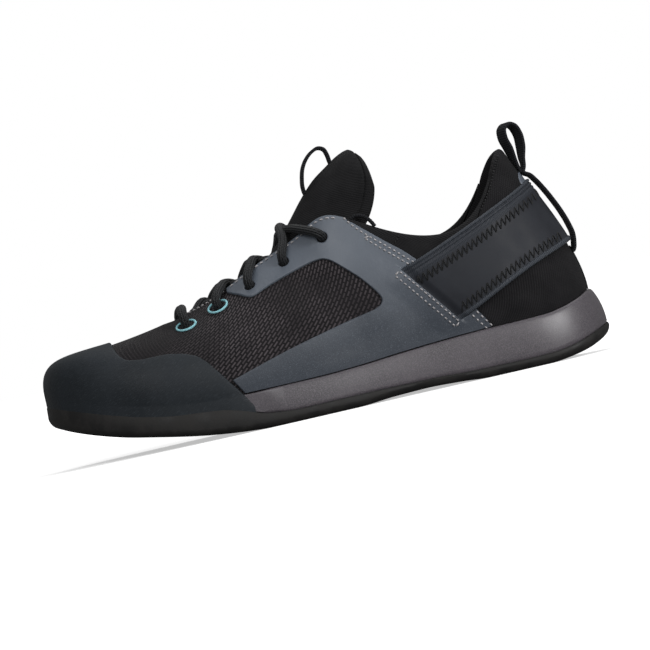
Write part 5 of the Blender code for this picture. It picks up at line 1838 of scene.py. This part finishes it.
def strap_paint():
    """Coated fabric with lighter ribbed bindings along both edges."""
    paint, tree, sockets = paint_base("strap_fabric", 0.6, 0.3, sheen=0.02)
    across = add(tree, "ShaderNodeSeparateXYZ", {0: surface(tree)}).outputs[1]
    inner = STRAP_WIDTH - UPPER_BINDING
    upper = spread(tree, across, inner - BINDING_BLUR, inner + BINDING_BLUR)
    lower = spread(tree, across, LOWER_BINDING + BINDING_BLUR, LOWER_BINDING - BINDING_BLUR)
    first = spread(tree, across, STRAP_WIDTH - 2.2, STRAP_WIDTH - 1.6)
    binding = calc(tree, "MAXIMUM", calc(tree, "MULTIPLY", upper, 0.55), lower)
    binding = calc(tree, "MAXIMUM", binding, first)
    spot = solid_place(tree)
    cloud = noise(tree, spot, 16.0)
    thread = waves(tree, surface(tree, 72.0), 0.8, "X", 0.8)
    base = blend_colours(tree, spread(tree, cloud, 0.3, 0.7), (0.0145, 0.0163, 0.0218),
                         (0.0212, 0.0236, 0.0305))
    rib = blend_colours(tree, thread, (0.024, 0.028, 0.036), (0.052, 0.06, 0.074))
    height = calc(tree, "MULTIPLY", thread, binding)
    grain = noise(tree, spot, 0.4, 2.0)
    wire(tree, sockets, colour=blend_colours(tree, binding, base, rib),
         roughness=spread(tree, cloud, 0.3, 0.7, 0.52, 0.66),
         normal=bump(tree, height, 0.22, 0.7, bump(tree, grain, 0.05, 0.5)))
    return paint


def webbing_paint():
    """Black webbing with ribs across its length."""
    paint, tree, sockets = paint_base("black_webbing", 0.8, 0.22, sheen=0.03)
    ribs = waves(tree, surface(tree), 1.1, "Y", 0.3)
    threads = waves(tree, surface(tree), 0.8, "X", 0.3)
    weave = weigh(tree, ribs, 0.75, threads, 0.25)
    colour = blend_colours(tree, weave, (0.0035, 0.0038, 0.0048), (0.0165, 0.0175, 0.021))
    wire(tree, sockets, colour=colour, normal=bump(tree, weave, 0.35, 0.9))
    return paint


def cord_paint():
    """Braided cord: lengthwise ribs crossed by slanted strands."""
    paint, tree, sockets = paint_base("lace_cord", 0.62, 0.36, sheen=0.05)
    ribs = waves(tree, surface(tree), LACE_RADIUS * math.pi / 5, "X")
    left = waves(tree, surface(tree, 35.0), 1.3, "Y")
    right = waves(tree, surface(tree, -35.0), 1.3, "Y")
    weave = weigh(tree, ribs, 0.6, calc(tree, "MAXIMUM", left, right), 0.4)
    colour = blend_colours(tree, weave, (0.0014, 0.0017, 0.0022), (0.0145, 0.0158, 0.0182))
    wire(tree, sockets, colour=colour, normal=bump(tree, weave, 0.6, 1.0))
    return paint


def thread_paint(name, low, high):
    """Twisted sewing thread."""
    paint, tree, sockets = paint_base(name, 0.55, 0.4, sheen=0.05)
    twist = waves(tree, surface(tree, 40.0), 0.55, "X")
    wire(tree, sockets, colour=blend_colours(tree, twist, low, high), normal=bump(tree, twist, 0.12, 0.8))
    return paint


# Stage

# Strength of the white surroundings as a light; the camera sees them at full white
WORLD_LIGHT = 0.2
# The floor glows from this near the shoe to full white, over a range of distances in metres
FLOOR_GLOW = 0.5
FLOOR_REACH = (0.2, 0.8)
# Grey of the floor for the light that it throws back at the shoe
FLOOR_BOUNCE = 0.25
FLOOR_SIZE = 60.0
# Lights: place and size in metres, power in watts
LIGHTS = [
    ("key", (-0.4, -1.3, 0.85), 0.9, 8.8),
    ("top", (0.2, 0.3, 1.5), 1.1, 8.0),
    ("rear", (1.0, -1.0, 0.55), 0.45, 11.0),
]
LIGHT_AIM = Vector((0.0, 0.0, 0.05))


def build_stage():
    """White floor and surroundings with soft light from above."""
    bpy.context.scene.view_settings.view_transform = "Standard"
    world = bpy.data.worlds.new("white")
    bpy.context.scene.world = world
    world.use_nodes = True
    tree = world.node_tree
    seen = add(tree, "ShaderNodeLightPath").outputs["Is Camera Ray"]
    strength = calc(tree, "MULTIPLY_ADD", seen, 1.0 - WORLD_LIGHT, WORLD_LIGHT)
    background = tree.nodes["Background"]
    background.inputs["Color"].default_value = (1.0, 1.0, 1.0, 1.0)
    tree.links.new(strength, background.inputs["Strength"])
    bpy.ops.mesh.primitive_plane_add(size=FLOOR_SIZE, location=(0.0, 0.0, 0.0))
    floor = bpy.context.object
    floor.name = "floor"
    paint, tree, sockets = paint_base("white_floor", 0.8, 0.0)
    seen = add(tree, "ShaderNodeLightPath").outputs["Is Camera Ray"]
    spot = add(tree, "ShaderNodeTexCoord").outputs["Object"]
    away = add(tree, "ShaderNodeVectorMath", {0: spot}, operation="LENGTH").outputs["Value"]
    glow = calc(tree, "MULTIPLY", seen, spread(tree, away, *FLOOR_REACH, FLOOR_GLOW, 1.0))
    sockets["Emission Color"].default_value = (1.0, 1.0, 1.0, 1.0)
    tree.links.new(blend_colours(tree, seen, (FLOOR_BOUNCE,) * 3, (0.9, 0.9, 0.9)), sockets["Base Color"])
    tree.links.new(glow, sockets["Emission Strength"])
    floor.data.materials.append(paint)
    for name, place_at, size, power in LIGHTS:
        data = bpy.data.lights.new(name, "AREA")
        data.shape = "SQUARE"
        data.size = size
        data.energy = power
        light = bpy.data.objects.new(name, data)
        light.location = place_at
        aim = LIGHT_AIM - Vector(place_at)
        light.rotation_euler = aim.to_track_quat("-Z", "Y").to_euler()
        bpy.context.scene.collection.objects.link(light)


# Every paint by its name, which is also the name of its slot, but for the dark thread
PAINTS = {
    "outsole_rubber": outsole_paint(),
    "midsole_foam": foam_paint(),
    "rand_rubber": rand_paint(),
    "knit_fabric": knit_paint(),
    "stretch_fabric": twill_paint("stretch_fabric", (0.006, 0.006, 0.0066), (0.02, 0.0198, 0.021),
                                  -52.0, 0.95, 0.22),
    "heel_fabric": twill_paint("heel_fabric", (0.0058, 0.0056, 0.0064), (0.0185, 0.0178, 0.0192),
                               38.0, 1.1, 0.25),
    "slate_film": slate_paint(),
    "strap_fabric": strap_paint(),
    "black_webbing": webbing_paint(),
    "lace_cord": cord_paint(),
    "ring_thread": thread_paint("ring_thread", (0.13, 0.42, 0.5), (0.46, 0.84, 0.9)),
    "seam_thread": thread_paint("seam_thread", (0.3, 0.285, 0.29), (0.62, 0.6, 0.61)),
    "dark_thread": thread_paint("dark_thread", (0.002, 0.0022, 0.0026), (0.008, 0.0085, 0.01)),
}


def main():
    """The whole shoe, from the sole up, with its camera and stage."""
    build_camera()
    build_stage()
    build_outsole()
    build_midsole()
    build_insole()
    build_rand()
    build_upper()
    for side, word in SIDES:
        build_quarter(side, word)
    build_strap()
    build_tongue()
    build_webbings()
    build_laces()
    build_rings()
    for side, word in SIDES:
        build_seams(side, word)
    build_zigzags()
    for side, word in SIDES:
        build_collar_trims(side, word)
    build_heel_trims()


main()
